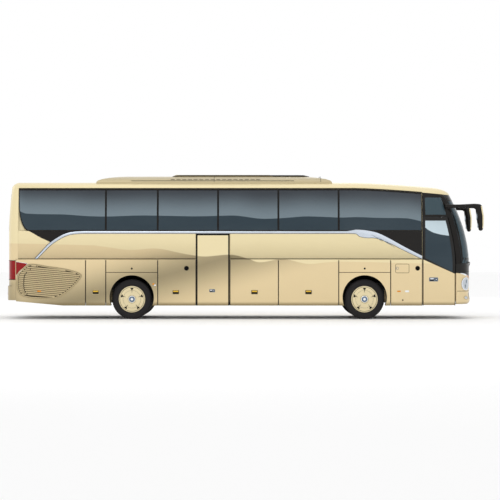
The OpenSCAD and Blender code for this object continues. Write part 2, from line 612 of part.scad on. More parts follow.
module rear_frame() color([0.12, 0.12, 0.12]) {
    rails(x_cross_r + plate_t + fit, x_hold_r - 20);
    box(x_cross_r, x_cross_r + plate_t, 275 - half_w, half_w - 275, 640, rail_top);
    tow_lug(x_cross_r - 32, x_cross_r - 62, x_cross_r + 1, 640);
    both_sides() for (x = [x_cross_r + plate_t + fit, x_service_r])
        box(x, x + 60, rail_in, rail_out, rail_top + fit, deck_z - deck_t);
}

// Deck plate, with the stairwell of the middle door and a notch for the steps at the front
aisle_half = 350;
notch_l = 600;
stair_in = deck_half - 705;
module deck() color([0.3, 0.3, 0.32]) difference() {
    translate([0, 0, deck_z - deck_t]) linear_extrude(deck_t) polygon([
        [x_rear + wall + 50, 425 - half_w], [x_corner + 60, -deck_half], [x_door_r - 20, -deck_half], [x_door_r - 20, deck_half],
        [x_corner + 60, deck_half], [x_rear + wall + 50, half_w - 425]
    ]);
    box(x_mid_r, x_mid_f, -deck_half - 1, -stair_in, deck_z - deck_t - 1, deck_z + 1);
    box(x_door_r - notch_l, x_door_r, -aisle_half, aisle_half, deck_z - deck_t - 1, deck_z + 1);
}
cab_z = 1050;
cab_corner = 150;                               // cut across the cab floor's corner, behind the head lamp
step_t = 28;
// Outline of a plate stair, a step plate thick, under its upper corners
module plate_stair(top) {
    polygon(concat(top, [for (i = [len(top) - 1:-1:0]) [top[i][0] - step_t, top[i][1] - step_t]]));
}
tread_in = post_y - 120;
tread_end = rail_out + 10;
tread_mid = tread_end + (tread_in - tread_end) * 17 / 41;
well = [deck_half - 10, deck_half - 245, deck_half - 475, stair_in];   // risers of the middle door's stairs
module steps() color([0.3, 0.3, 0.32]) {
    // front entrance up to the driver's floor, which rests on the rails
    scale_y(RIGHT) along(x_door_r + 10, x_door_f - 60)
        plate_stair([[deck_half, tread_z], [tread_in, tread_z], [tread_in, 725], [tread_mid, 725],
            [tread_mid, cab_z], [tread_end, cab_z]]);
    translate([0, 0, cab_z - step_t]) linear_extrude(step_t) polygon([
        [x_fa + arch_half + 50, -aisle_half], [x_cross_f, -aisle_half], [x_cross_f, deck_half - cab_corner],
        [x_cross_f - cab_corner, deck_half], [x_fa + arch_half + 50, deck_half]
    ]);
    box(x_door_r + 10, x_cross_f, -480, -aisle_half, cab_z - step_t, cab_z);
    for (side = [RIGHT, LEFT]) scale_y(side)
        box(x_door_r + 60, x_cross_f - 100, rail_in, rail_out, rail_top, cab_z - step_t);
    // steps from the driver's floor to the deck
    across(-aisle_half + 5, aisle_half - 5)
        polygon([[x_door_r - 20, cab_z], [x_door_r - 20, 1290], [x_door_r - 310, 1290], [x_door_r - 310, deck_z],
            [x_door_r - notch_l, deck_z], [x_door_r - notch_l, deck_z - deck_t], [x_door_r - 338, deck_z - deck_t],
            [x_door_r - 338, 1262], [x_door_r - 48, 1262], [x_door_r - 48, cab_z]]);
    // stairwell of the middle door
    scale_y(RIGHT) {
        along(x_mid_r, x_mid_f) polygon([
            [well[0], hold_floor_z], [well[0], 424], [well[1], 424], [well[1], 790], [well[2], 790],
            [well[2], 1160], [stair_in + 32, 1160], [stair_in + 32, deck_z], [stair_in + 4, deck_z],
            [stair_in + 4, 1132], [well[2] - step_t, 1132], [well[2] - step_t, 762], [well[1] - step_t, 762],
            [well[1] - step_t, hold_floor_z]
        ]);
        for (x = [x_mid_r, x_mid_f - 10])
            box(x, x + 10, stair_in + 4, deck_half - 5, hold_floor_z, deck_z - deck_t);
    }
}

// Axles: a forged beam with kingpins in front, a tube with its gear housing behind
kingpin_y = track_half - kingpin_in;
kingpin_r = 22;
eye_r = 45;
beam_end = 150;                                 // slim end of the beam, clear of the steering arm's swing
stub_r = 45;
hub_r = 60;
spring_y = 420;
spring_r = 100;
module front_axle() color([0.1, 0.1, 0.1]) {
    box(x_fa - 50, x_fa + 50, beam_end - kingpin_y, kingpin_y - beam_end, hub_z - 81, hub_z + 9);
    for (side = [RIGHT, LEFT]) scale_y(side) {
        box(x_fa - 40, x_fa + 40, kingpin_y - beam_end - 1, kingpin_y, hub_z - 40, hub_z + 40);
        translate([x_fa, kingpin_y, hub_z - 40]) cylinder(r = eye_r, h = 80);
        translate([x_fa, kingpin_y, hub_z - 84]) cylinder(r = kingpin_r, h = 168);
    }
}
module rear_axle() color([0.1, 0.1, 0.1]) {
    translate([x_ra, 560, hub_z]) rotate([90, 0, 0]) cylinder(r = 75, h = 1120);
    translate([x_ra, 1180, hub_z]) rotate([90, 0, 0]) cylinder(r = hub_r, h = 2360);
    translate([x_ra, 150, hub_z]) rotate([90, 0, 0]) cylinder(r = 190, h = 300);
    for (side = [RIGHT, LEFT]) scale_y(side) box(x_ra - 90, x_ra + 90, spring_y - 80, spring_y + 80, hub_z, hub_z + 79);
}
module air_springs() color([0.08, 0.08, 0.08]) both_sides() {
    translate([x_fa, spring_y, hub_z + 9]) cylinder(r = spring_r, h = rail_low - hub_z - 9);
    translate([x_ra, spring_y, hub_z + 79]) cylinder(r = spring_r, h = rail_low - hub_z - 79);
    translate([x_ra + 90, spring_y, hub_z + 40]) rotate([0, 90, 0]) cylinder(r = 28, h = x_hold_r - 20 - x_ra - 90);
}
lug_gap = 6;
arm_l = 220;
eye_h = 26;
module knuckle() {
    difference() {
        union() {
            for (z = [hub_z - 40 - lug_gap - 34, hub_z + 40 + lug_gap]) {
                translate([x_fa, kingpin_y, z]) cylinder(r = eye_r, h = 34);
                box(x_fa - 40, x_fa + 40, kingpin_y, kingpin_y + 60, z, z + 34);
            }
            box(x_fa - 60, x_fa + 60, kingpin_y + 52, kingpin_y + 75, hub_z - 80, hub_z + 80);
            // steering arm, straight back to the tie rod's pin
            box(x_fa - arm_l, x_fa, kingpin_y - 20, kingpin_y + 20, hub_z - 80, hub_z - 56);
            translate([x_fa - arm_l, kingpin_y, hub_z - 80]) cylinder(r = 25, h = 24);
            translate([x_fa - arm_l, kingpin_y, hub_z - 80]) cylinder(r = pin_r, h = 26 + eye_h);
        }
        translate([x_fa, kingpin_y, 0]) cylinder(r = kingpin_r + fit, h = 2 * hub_z);
    }
    translate([x_fa, kingpin_y + 300 - 70, hub_z]) rotate([90, 0, 0]) cylinder(r = stub_r, h = 160);
}
module right_knuckle() color([0.2, 0.2, 0.2]) scale_y(RIGHT) knuckle();
module left_knuckle() color([0.2, 0.2, 0.2]) knuckle();
module tie_rod() color([0.2, 0.2, 0.2]) difference() {
    union() {
        for (side = [RIGHT, LEFT]) translate([x_fa - arm_l, side * kingpin_y, hub_z - 56 + fit]) cylinder(r = 22, h = eye_h);
        translate([x_fa - arm_l, kingpin_y, hub_z - 56 + fit + eye_h / 2]) rotate([90, 0, 0])
            cylinder(r = 11, h = 2 * kingpin_y);
    }
    for (side = [RIGHT, LEFT]) translate([x_fa - arm_l, side * kingpin_y, hub_z - 100]) cylinder(r = pin_r + fit, h = 200);
}

// Wheels, as outlines of [radius, distance outwards from the middle of the tyre]
module turned(x, y) translate([x, y, hub_z]) rotate([-90, 0, 0]) rotate_extrude() children();
bead_w = 112;
side_r = cover_r + (tyre_r - cover_r) * 55 / 177;     // widest place of a tyre's side
module tyre_shape() {
    hw = tyre_w / 2;
    polygon([[rim_r, -bead_w], [rim_r, bead_w], [rim_r + 12, hw - 22], [cover_r, hw - 16], [side_r, hw],
        [tyre_r - 52, hw - 4], [tyre_r - 18, hw - 16], [tyre_r - 4, hw - 30], [tyre_r, hw - 46],
        [tyre_r, 46 - hw], [tyre_r - 4, 30 - hw], [tyre_r - 18, 16 - hw], [tyre_r - 52, 4 - hw], [side_r, -hw],
        [cover_r, 16 - hw], [rim_r + 12, 22 - hw]]);
}
module cover_shape() {
    hw = tyre_w / 2;
    polygon([[0, hw - 6], [cover_r, hw - 13], [cover_r, hw - 5], [cover_r - 40, hw + 3], [110, hw + 4], [0, hw + 4]]);
    translate([90, 60]) square([14, hw - 64]);
}
module front_rim() {
    turned(x_fa, track_half) {
        translate([rim_r - 12, -bead_w]) square([12, 2 * bead_w]);
        translate([stub_r + fit, 58]) square([rim_r - 6 - stub_r, 16]);
        translate([stub_r + fit, -20]) square([45, 94]);
        cover_shape();
    }
}
module rear_rims() turned(x_ra, track_half) {
    for (n = [0, -twin_gap]) translate([rim_r - 12, n - bead_w]) square([12, 2 * bead_w]);
    translate([rim_r - 20, bead_w - twin_gap - 8]) square([12, twin_gap - 2 * bead_w + 16]);
    translate([hub_r + fit, -twin_gap / 2 - 8]) square([rim_r - 14 - hub_r, 16]);
    translate([hub_r + fit, -twin_gap / 2 - 60]) square([44, twin_gap / 2 + 130]);
    cover_shape();
}
module front_right_rim() color([0.86, 0.78, 0.61]) scale_y(RIGHT) front_rim();
module front_left_rim() color([0.86, 0.78, 0.61]) front_rim();
module rear_right_rims() color([0.86, 0.78, 0.61]) scale_y(RIGHT) rear_rims();
module rear_left_rims() color([0.86, 0.78, 0.61]) rear_rims();
module front_tyre() turned(x_fa, track_half) tyre_shape();
module rear_tyres() for (n = [0, twin_gap]) turned(x_ra, track_half - n) tyre_shape();
module front_right_tyre() color([0.1, 0.1, 0.1]) scale_y(RIGHT) front_tyre();
module front_left_tyre() color([0.1, 0.1, 0.1]) front_tyre();
module rear_right_tyres() color([0.1, 0.1, 0.1]) scale_y(RIGHT) rear_tyres();
module rear_left_tyres() color([0.1, 0.1, 0.1]) rear_tyres();

module engine() color([0.25, 0.25, 0.27]) {
    box(x_rear + 371, x_rear + 1521, -340, 340, 470, 1300);
    for (side = [RIGHT, LEFT]) scale_y(side) for (x = [x_rear + 471, x_rear + 1321])
        box(x, x + 100, 339, rail_in, rail_low + 40, rail_top - 40);
}

// Seats: cushion, back and base as one outline along the coach
module seat(x, y0, y1, z) across(y0, y1) polygon([for (p = [[110, 0], [380, 0], [380, 290], [480, 300], [490, 430],
    [110, 410], [10, seat_h], [-90, seat_h - 15], [-20, 300], [110, 290]]) [x + p[0], z + p[1]]]);
seat_out = half_w - wall - 55;
module seats() color([0.25, 0.27, 0.35]) {
    for (i = [0:10]) {
        x = x_door_r - notch_l - 640 - i * seat_pitch;
        seat(x, seat_out - seat_w, seat_out, deck_z);
        if (x > x_mid_f + 120 || x + 520 < x_mid_r) seat(x, -seat_out, seat_w - seat_out, deck_z);
    }
    seat(x_door_r + 60, 420, 900, cab_z);
}
module dashboard() color([0.14, 0.14, 0.15]) across(-560, 680) polygon([
    [x_front - 659, cab_z], [x_front - 379, cab_z], [x_front - 150, 1390], [x_front - 150, 1438], [x_front - 679, 1438],
    [x_front - 719, 1300]
]);
wheel_tilt = 25;
column_l = (1680 - 1438 - 28 * sin(wheel_tilt) - fit) / cos(wheel_tilt);
module steering_wheel() color([0.1, 0.1, 0.1]) {
    translate([x_front - 660, 655, 1680]) rotate([0, -wheel_tilt, 0]) {
        rotate_extrude() translate([215, 0]) circle(r = 16);
        cylinder(r = 60, h = 20);
        translate([0, 0, -column_l]) cylinder(r = 28, h = column_l + 1);
        for (a = [0:120:240]) rotate(a) translate([40, -14, 0]) cube([172, 28, 12]);
    }
}

hold_tray();
front_frame();
rear_frame();
deck();
steps();
right_side();
left_side();
roof();
side_windows();
front_panel();
front_bumper();
windscreen();
front_pillars();
front_side_windows();
driver_side_panel();
rear_end();
rear_bumper();
rear_window();
skirts();
climate_unit();
head_lamps();
tail_lamps();
mirrors();
wipers();
wheel_housings();
front_axle();
rear_axle();
air_springs();
engine();
seats();
dashboard();
steering_wheel();
front_door();
front_door_glass();
front_door_post();
middle_door();
right_rear_flap();
right_middle_flap();
right_front_flap();
left_rear_flap();
left_middle_flap();
left_front_flap();
right_service_flap();
left_service_flap();
right_engine_flap();
left_engine_flap();
engine_lid();
right_knuckle();
left_knuckle();
tie_rod();
front_right_rim();
front_left_rim();
rear_right_rims();
rear_left_rims();
front_right_tyre();
front_left_tyre();
rear_right_tyres();
rear_left_tyres();
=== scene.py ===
"""A high-deck touring coach: paint, glass, lamps, wheels, seats and trim built round its fixed model."""

import json
import logging
import math
from collections.abc import Sequence
from dataclasses import dataclass
from enum import Enum

import bmesh
import bpy
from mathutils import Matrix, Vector

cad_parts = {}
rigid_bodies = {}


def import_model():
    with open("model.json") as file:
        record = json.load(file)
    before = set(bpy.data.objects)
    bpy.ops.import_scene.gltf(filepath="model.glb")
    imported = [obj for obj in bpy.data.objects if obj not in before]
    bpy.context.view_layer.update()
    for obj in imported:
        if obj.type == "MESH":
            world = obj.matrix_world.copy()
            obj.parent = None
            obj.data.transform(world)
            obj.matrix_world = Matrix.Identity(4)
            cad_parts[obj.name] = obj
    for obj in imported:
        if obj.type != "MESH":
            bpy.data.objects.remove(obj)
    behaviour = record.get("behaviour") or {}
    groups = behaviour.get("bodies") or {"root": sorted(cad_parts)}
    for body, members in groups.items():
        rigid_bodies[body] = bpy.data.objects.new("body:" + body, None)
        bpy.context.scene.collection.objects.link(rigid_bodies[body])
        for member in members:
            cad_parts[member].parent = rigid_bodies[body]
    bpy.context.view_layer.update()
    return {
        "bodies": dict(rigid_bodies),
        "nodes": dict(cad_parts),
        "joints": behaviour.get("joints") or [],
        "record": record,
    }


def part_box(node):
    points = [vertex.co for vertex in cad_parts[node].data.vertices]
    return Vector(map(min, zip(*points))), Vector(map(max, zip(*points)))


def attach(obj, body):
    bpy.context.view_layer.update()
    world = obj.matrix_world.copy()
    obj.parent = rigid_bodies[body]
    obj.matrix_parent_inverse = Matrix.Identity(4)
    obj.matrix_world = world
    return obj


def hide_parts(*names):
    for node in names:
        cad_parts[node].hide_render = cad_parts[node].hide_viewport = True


log = logging.getLogger("coach")
Point = tuple[float, float]
Row = Sequence[Vector]
Colour = tuple[float, float, float]
COACH = "coach"


class Side(Enum):
    """The coach's two sides, as the sign of Y."""

    RIGHT = -1
    LEFT = 1

    @property
    def tag(self) -> str:
        """Returns the side's name as piece names use it."""
        return self.name.lower()


class Slot(Enum):
    """The record's finishes."""

    PAINT = "champagne"
    FRAME = "frame_black"
    GLASS = "window"
    TRIM = "black_trim"
    CLEAR = "lamp_clear"
    RED = "lamp_red"
    FLOOR = "floor_cover"
    CAST = "cast"
    BELLOWS = "spring_rubber"
    ENGINE = "engine_metal"
    CLOTH = "seat_cloth"
    DASH = "dash_plastic"
    COVER = "cover_paint"
    TYRE = "tyre_rubber"


# ---------------------------------------------------------------- shapes


def unit(value: float) -> float:
    """Returns value held between 0 and 1."""
    return max(0.0, min(1.0, value))


def steps(first: float, last: float, count: int) -> list[float]:
    """Returns count + 1 values at even distances from first to last."""
    return [first + (last - first) * k / count for k in range(count + 1)]


def circle(x: float, y: float, z: float, radius: float, cuts: int = 40) -> list[Vector]:
    """Returns the places round a level circle."""
    turns = (2 * math.pi * k / cuts for k in range(cuts))
    return [Vector((x + radius * math.cos(t), y + radius * math.sin(t), z)) for t in turns]


def spline(points: Sequence[Point], cuts: int = 6, closed: bool = False) -> list[Point]:
    """A smooth line through points.

    Args:
        points: places the line passes through.
        cuts: pieces between two places.
        closed: whether the last place joins the first.

    Returns:
        The places along the line.
    """
    n = len(points)
    out: list[Point] = []
    for i in range(n if closed else n - 1):
        if closed:
            a, b, c, d = (points[(i + k) % n] for k in (-1, 0, 1, 2))
        else:
            a, b, c, d = (points[min(max(i + k, 0), n - 1)] for k in (-1, 0, 1, 2))
        for j in range(cuts):
            t = j / cuts
            out.append(tuple(
                0.5 * (2 * b[k] + (c[k] - a[k]) * t + (2 * a[k] - 5 * b[k] + 4 * c[k] - d[k]) * t * t
                       + (3 * b[k] - a[k] - 3 * c[k] + d[k]) * t ** 3)
                for k in (0, 1)
            ))
    return out if closed else out + [tuple(points[-1])]


def rounded(x0: float, x1: float, z0: float, z1: float, radius: float, cuts: int = 4) -> list[Point]:
    """Returns the outline of a rectangle with round corners."""
    out = []
    for k, (cx, cz) in enumerate(((x1 - radius, z1 - radius), (x0 + radius, z1 - radius),
                                  (x0 + radius, z0 + radius), (x1 - radius, z0 + radius))):
        for j in range(cuts + 1):
            a = math.pi / 2 * (k + j / cuts)
            out.append((cx + radius * math.cos(a), cz + radius * math.sin(a)))
    return out


def oval(x: float, z: float, a: float, b: float, tilt: float = 0.0, cuts: int = 28) -> list[Point]:
    """Returns the outline of an oval with half axes a and b, turned by tilt degrees."""
    c, s = math.cos(math.radians(tilt)), math.sin(math.radians(tilt))
    turns = [2 * math.pi * k / cuts for k in range(cuts)]
    return [(x + a * math.cos(t) * c - b * math.sin(t) * s, z + a * math.cos(t) * s + b * math.sin(t) * c)
            for t in turns]


def inset(outline: Sequence[Point], by: float) -> list[Point]:
    """Returns an anticlockwise outline moved inwards by a distance."""
    out = []
    n = len(outline)
    for i in range(n):
        (ax, az), (bx, bz), (cx, cz) = outline[i - 1], outline[i], outline[(i + 1) % n]
        tx, tz = cx - ax, cz - az
        size = math.hypot(tx, tz) or 1.0
        out.append((bx - tz / size * by, bz + tx / size * by))
    return out


@dataclass(frozen=True)
class Skin:
    """The outer faces of the body, in metres, from the boxes of its panels."""

    half_w: float
    x_rear: float
    x_front: float
    sill: float
    lean: float = 0.080
    lean_h: float = 1.113
    rake: float = 0.508
    nose_depth: float = 0.5
    tail_depth: float = 0.23

    @classmethod
    def measured(cls) -> "Skin":
        """Returns the skin that the fixed model's boxes give."""
        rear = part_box("rear_bumper")
        return cls(rear[1].y, rear[0].x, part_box("front_bumper")[1].x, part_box("side_windows")[0].z - 0.004)

    def width(self, z: float) -> float:
        """Returns the half width at a height."""
        return self.half_w - self.lean * max(0.0, z - self.sill) / self.lean_h

    def side(self, x: float, z: float, side: Side, proud: float = 0.0) -> Vector:
        """Returns a place on one side, proud of the panel."""
        return Vector((x, side.value * (self.width(z) + proud), z))

    def eave(self, x: float) -> float:
        """Returns the height of the eaves at a station."""
        return 3.424 - 0.160 * unit((x - (self.x_front - 3.067)) / 2.388) ** 1.4

    def keel(self, x: float) -> float:
        """Returns the height of the skirts' lower edge at a station."""
        start = -4.7625
        return 0.356 + 0.140 * unit((start - x) / (start - self.x_rear))

    def nose(self, z: float) -> float:
        """Returns how far forward the middle of the front is at a height."""
        rows = ((0.395, -0.040), (0.430, 0.0), (0.477, 0.015), (0.530, 0.010), (0.640, -0.012),
                (0.735, -0.004),
                (0.800, 0.0))
        x = self.x_front - 0.015
        if z >= 1.433:
            return x - self.rake * ((z - 1.433) / 1.803) ** 1.92
        for (z0, d0), (z1, d1) in zip(rows, rows[1:]):
            if z0 <= z < z1:
                return x + d0 + (d1 - d0) * (z - z0) / (z1 - z0)
        return x + (rows[0][1] if z < rows[0][0] else 0.0)

    def tail(self, z: float) -> float:
        """Returns how far back the middle of the rear is at a height."""
        return self.x_rear + (0.0 if z < 0.870 else 0.031) + 0.077 * (max(0.0, z - 2.450) / 1.027) ** 1.5

    def _plan(self, t: float, depth: float, z: float, power: float, proud: float) -> Point:
        """Returns the distances from an end's straight sides, at angle t in degrees."""
        w, r = self.width(z), math.radians(t)
        y = math.sin(r) ** power if r > 0 else 0.0
        n = Vector((2 * math.cos(r) / depth, 2 / power * y ** (2 / power - 1) / w)).normalized()
        return depth * math.cos(r) + n.x * proud, w * y + n.y * proud

    def front(self, t: float, z: float, proud: float = 0.0) -> Vector:
        """Returns a place round the front, t degrees from the middle and negative on the right."""
        a, b = self._plan(abs(t), self.nose_depth, z, 2 / 4.5, proud)
        return Vector((self.nose(z) - self.nose_depth + a, math.copysign(b, t), z))

    def rear(self, t: float, z: float, proud: float = 0.0) -> Vector:
        """Returns a place round the rear, t degrees from the middle and negative on the right."""
        a, b = self._plan(abs(t), self.tail_depth, z, 2 / 6, proud)
        return Vector((self.tail(z) + self.tail_depth - a, math.copysign(b, t), z))

    def rear_at(self, y: float, z: float, proud: float = 0.0) -> Vector:
        """Returns the place on the rear that lies at a distance from the middle."""
        t = math.degrees(math.asin(unit(abs(y) / self.width(z)) ** 3))
        return self.rear(math.copysign(max(t, 0.001), y), z, proud)


class Solid:
    """Collects the closed shapes of one piece."""

    def __init__(self) -> None:
        """Starts with no shape."""
        self.points: list[Vector] = []
        self.faces: list[list[int]] = []

    def _add(self, points: Sequence[Vector]) -> int:
        """Adds points and returns the first one's number."""
        start = len(self.points)
        self.points.extend(Vector(p) for p in points)
        return start

    def prism(self, upper: Row, lower: Row) -> "Solid":
        """Adds a slab between two outlines with as many points."""
        n, a = len(upper), self._add(upper)
        b = self._add(lower)
        self.faces.append([a + k for k in range(n)])
        self.faces.append([b + k for k in reversed(range(n))])
        self.faces.extend([a + k, b + k, b + (k + 1) % n, a + (k + 1) % n] for k in range(n))
        return self

    def ring(self, outlines: Sequence[Row], open_ends: bool = False) -> "Solid":
        """Adds a band whose section's corners run along the given lines, closed or with two ends."""
        n, m = len(outlines[0]), len(outlines)
        starts = [self._add(row) for row in outlines]
        for k in range(n - 1 if open_ends else n):
            j = (k + 1) % n
            self.faces.extend([starts[r] + k, starts[(r + 1) % m] + k, starts[(r + 1) % m] + j, starts[r] + j]
                              for r in range(m))
        if open_ends:
            self.faces.append([s for s in starts])
            self.faces.append([s + n - 1 for s in reversed(starts)])
        return self

    def sheet(self, outer: Sequence[Row], inner: Sequence[Row]) -> "Solid":
        """Adds a curved slab between two grids of points."""
        rows, cols = len(outer), len(outer[0])
        a = self._add([p for row in outer for p in row])
        b = self._add([p for row in inner for p in row])
        for i in range(rows - 1):
            for j in range(cols - 1):
                k = i * cols + j
                self.faces.append([a + k, a + k + 1, a + k + cols + 1, a + k + cols])
                self.faces.append([b + k, b + k + cols, b + k + cols + 1, b + k + 1])
        rim = ([j for j in range(cols)] + [i * cols + cols - 1 for i in range(1, rows)]
               + [(rows - 1) * cols + j for j in reversed(range(cols - 1))]
               + [i * cols for i in reversed(range(1, rows - 1))])
        for k, p in enumerate(rim):
            q = rim[(k + 1) % len(rim)]
            self.faces.append([a + p, b + p, b + q, a + q])
        return self

    def box(self, low: Sequence[float], high: Sequence[float]) -> "Solid":
        """Adds a block between two corners."""
        (x0, y0, z0), (x1, y1, z1) = low, high
        flat = [(x0, y0), (x1, y0), (x1, y1), (x0, y1)]
        return self.prism([Vector((x, y, z1)) for x, y in flat], [Vector((x, y, z0)) for x, y in flat])

    def turned(self, centre: Vector, profile: Sequence[Point], side: Side, cuts: int = 64) -> "Solid":
        """Adds a closed profile of (radius, distance outwards) turned about an axle along Y."""
        n = len(profile)
        rows = []
        for r, d in profile:
            rows.append([Vector((centre.x + r * math.cos(2 * math.pi * k / cuts), centre.y + side.value * d,
                                 centre.z + r * math.sin(2 * math.pi * k / cuts))) for k in range(cuts)])
        starts = [self._add(row) for row in rows]
        for r in range(n):
            q = (r + 1) % n
            if profile[r][0] < 1e-6 and profile[q][0] < 1e-6:
                continue
            self.faces.extend([starts[r] + k, starts[q] + k, starts[q] + (k + 1) % cuts,
                               starts[r] + (k + 1) % cuts]
                              for k in range(cuts))
        return self

    def tube(self, path: Row, radius: float | Sequence[float], sides: int = 10) -> "Solid":
        """Adds a round bar along a path, with one radius or one for each place."""
        n = len(path)
        radii = [radius] * n if isinstance(radius, float) else radius
        rows = []
        up = Vector((0.12, 0.2, 1.0)).normalized()
        for k, p in enumerate(path):
            along = (path[min(k + 1, n - 1)] - path[max(k - 1, 0)]).normalized()
            a = along.cross(up if abs(along.dot(up)) < 0.98 else Vector((1, 0, 0))).normalized()
            b = along.cross(a)
            turns = (2 * math.pi * j / sides for j in range(sides))
            rows.append([p + (a * math.cos(t) + b * math.sin(t)) * radii[k] for t in turns])
        starts = [self._add(row) for row in rows]
        for k in range(n - 1):
            self.faces.extend([starts[k] + j, starts[k] + (j + 1) % sides, starts[k + 1] + (j + 1) % sides,
                               starts[k + 1] + j] for j in range(sides))
        self.faces.append([starts[0] + j for j in reversed(range(sides))])
        self.faces.append([starts[-1] + j for j in range(sides)])
        return self

    def mesh(self, name: str, smooth: float = 35.0) -> bpy.types.Mesh:
        """The shapes as one mesh.

        Args:
            name: the mesh's name.
            smooth: angle in degrees above which an edge looks sharp.

        Returns:
            The mesh, with its faces pointing outwards.
        """
        mesh = bpy.data.meshes.new(name)
        mesh.from_pydata(self.points, [], self.faces)
        tidy(mesh, 1e-6)
        mesh.shade_smooth()
        mesh.set_sharp_from_angle(angle=math.radians(smooth))
        return mesh


def tidy(mesh: bpy.types.Mesh, reach: float, flat: float = 0.0) -> None:
    """Merges doubles, joins flat faces and points every face outwards.

    Args:
        mesh: the mesh, changed in place.
        reach: distance under which points merge.
        flat: angle in degrees under which neighbouring faces join, or 0 for none.
    """
    bm = bmesh.new()
    bm.from_mesh(mesh)
    bmesh.ops.remove_doubles(bm, verts=bm.verts, dist=reach)
    if flat:
        bmesh.ops.dissolve_limit(bm, angle_limit=math.radians(flat), verts=bm.verts, edges=bm.edges)
    bmesh.ops.recalc_face_normals(bm, faces=bm.faces)
    bm.to_mesh(mesh)
    bm.free()


class Repeater:
    """A geometry tree that repeats a shape along a step and round a turn, about its own origin."""

    INPUTS = (("Geometry", "NodeSocketGeometry"), ("Count", "NodeSocketInt"), ("Step", "NodeSocketVector"),
              ("Turn", "NodeSocketVector"), ("Place", "NodeSocketVector"), ("Finish", "NodeSocketMaterial"))

    def __init__(self) -> None:
        """Builds the tree once."""
        self.tree = bpy.data.node_groups.new("repeat", "GeometryNodeTree")
        for name, kind in self.INPUTS:
            self.tree.interface.new_socket(name, in_out="INPUT", socket_type=kind)
        self.tree.interface.new_socket("Geometry", in_out="OUTPUT", socket_type="NodeSocketGeometry")
        add, link = self.tree.nodes.new, self.tree.links.new
        given, line, index = add("NodeGroupInput"), add("GeometryNodeMeshLine"), add("GeometryNodeInputIndex")
        scale, turn = add("ShaderNodeVectorMath"), add("FunctionNodeEulerToRotation")
        copies, solid = add("GeometryNodeInstanceOnPoints"), add("GeometryNodeRealizeInstances")
        place, finish = add("GeometryNodeTransform"), add("GeometryNodeSetMaterial")
        out = add("NodeGroupOutput")
        scale.operation = "SCALE"
        link(given.outputs["Count"], line.inputs["Count"])
        link(given.outputs["Step"], line.inputs["Offset"])
        link(given.outputs["Turn"], scale.inputs[0])
        link(index.outputs[0], scale.inputs["Scale"])
        link(scale.outputs[0], turn.inputs[0])
        link(line.outputs[0], copies.inputs["Points"])
        link(given.outputs["Geometry"], copies.inputs["Instance"])
        link(turn.outputs[0], copies.inputs["Rotation"])
        link(copies.outputs[0], place.inputs["Geometry"])
        link(given.outputs["Place"], place.inputs["Translation"])
        link(place.outputs[0], solid.inputs[0])
        link(solid.outputs[0], finish.inputs["Geometry"])
        link(given.outputs["Finish"], finish.inputs["Material"])
        link(finish.outputs[0], out.inputs[0])
        self.names = {i.name: i.identifier for i in self.tree.interface.items_tree if i.in_out == "INPUT"}

    def run(self, shape: Solid, finish: bpy.types.Material, count: int, step: Sequence[float] = (0, 0, 0),
            turn: Sequence[float] = (0, 0, 0), place: Sequence[float] = (0, 0, 0)) -> bpy.types.Mesh:
        """Repeats a shape.

        Args:
            shape: the shape, about the origin.
            finish: the copies' material.
            count: how many copies.
            step: move from one copy to the next.
            turn: turn from one copy to the next, in radians.
            place: where the first copy's origin goes.

        Returns:
            One plain mesh of all the copies.
        """
        source = bpy.data.objects.new("repeated", shape.mesh("repeated"))
        bpy.context.collection.objects.link(source)
        mod = source.modifiers.new("repeat", "NODES")
        mod.node_group = self.tree
        values = {"Count": count, "Step": step, "Turn": turn, "Place": place, "Finish": finish}
        for name, value in values.items():
            mod[self.names[name]] = value
        graph = bpy.context.evaluated_depsgraph_get()
        mesh = bpy.data.meshes.new_from_object(source.evaluated_get(graph))
        bpy.data.objects.remove(source)
        return mesh


# ---------------------------------------------------------------- finishes


def tint(red: int, green: int, blue: int) -> Colour:
    """Returns the linear colour for a colour given as 0 to 255."""
    shares = (v / 255 for v in (red, green, blue))
    return tuple(c / 12.92 if c <= 0.04045 else ((c + 0.055) / 1.055) ** 2.4 for c in shares)


class Tone:
    """A number that varies over a surface; each operation on it adds a Math node."""

    def __init__(self, net: "Net", socket: bpy.types.NodeSocket) -> None:
        """Wraps a socket of a net."""
        self.net = net
        self.socket = socket

    def _with(self, operation: str, *others: "Tone | float", swap: bool = False) -> "Tone":
        """Returns the result of a Math node on this tone and others."""
        terms = [self, *others]
        if swap:
            terms.reverse()
        node = self.net.node("ShaderNodeMath", {"operation": operation}, dict(enumerate(terms)))
        return Tone(self.net, node.outputs[0])

    def __add__(self, other: "Tone | float") -> "Tone":
        """Returns the sum."""
        return self._with("ADD", other)

    __radd__ = __add__

    def __mul__(self, other: "Tone | float") -> "Tone":
        """Returns the product."""
        return self._with("MULTIPLY", other)

    __rmul__ = __mul__

    def __sub__(self, other: "Tone | float") -> "Tone":
        """Returns the difference."""
        return self._with("SUBTRACT", other)

    def __rsub__(self, other: float) -> "Tone":
        """Returns other less this."""
        return self._with("SUBTRACT", other, swap=True)

    def larger(self, other: "Tone | float") -> "Tone":
        """Returns the larger of the two."""
        return self._with("MAXIMUM", other)

    def size(self) -> "Tone":
        """Returns the value without its sign."""
        return self._with("ABSOLUTE")

    def wave(self) -> "Tone":
        """Returns the sine."""
        return self._with("SINE")

    def rise(self, low: float, high: float) -> "Tone":
        """Returns a smooth step from 0 at low to 1 at high."""
        values = {"Value": self, "From Min": low, "From Max": high}
        node = self.net.node("ShaderNodeMapRange", {"interpolation_type": "SMOOTHSTEP"}, values)
        return Tone(self.net, node.outputs[0])


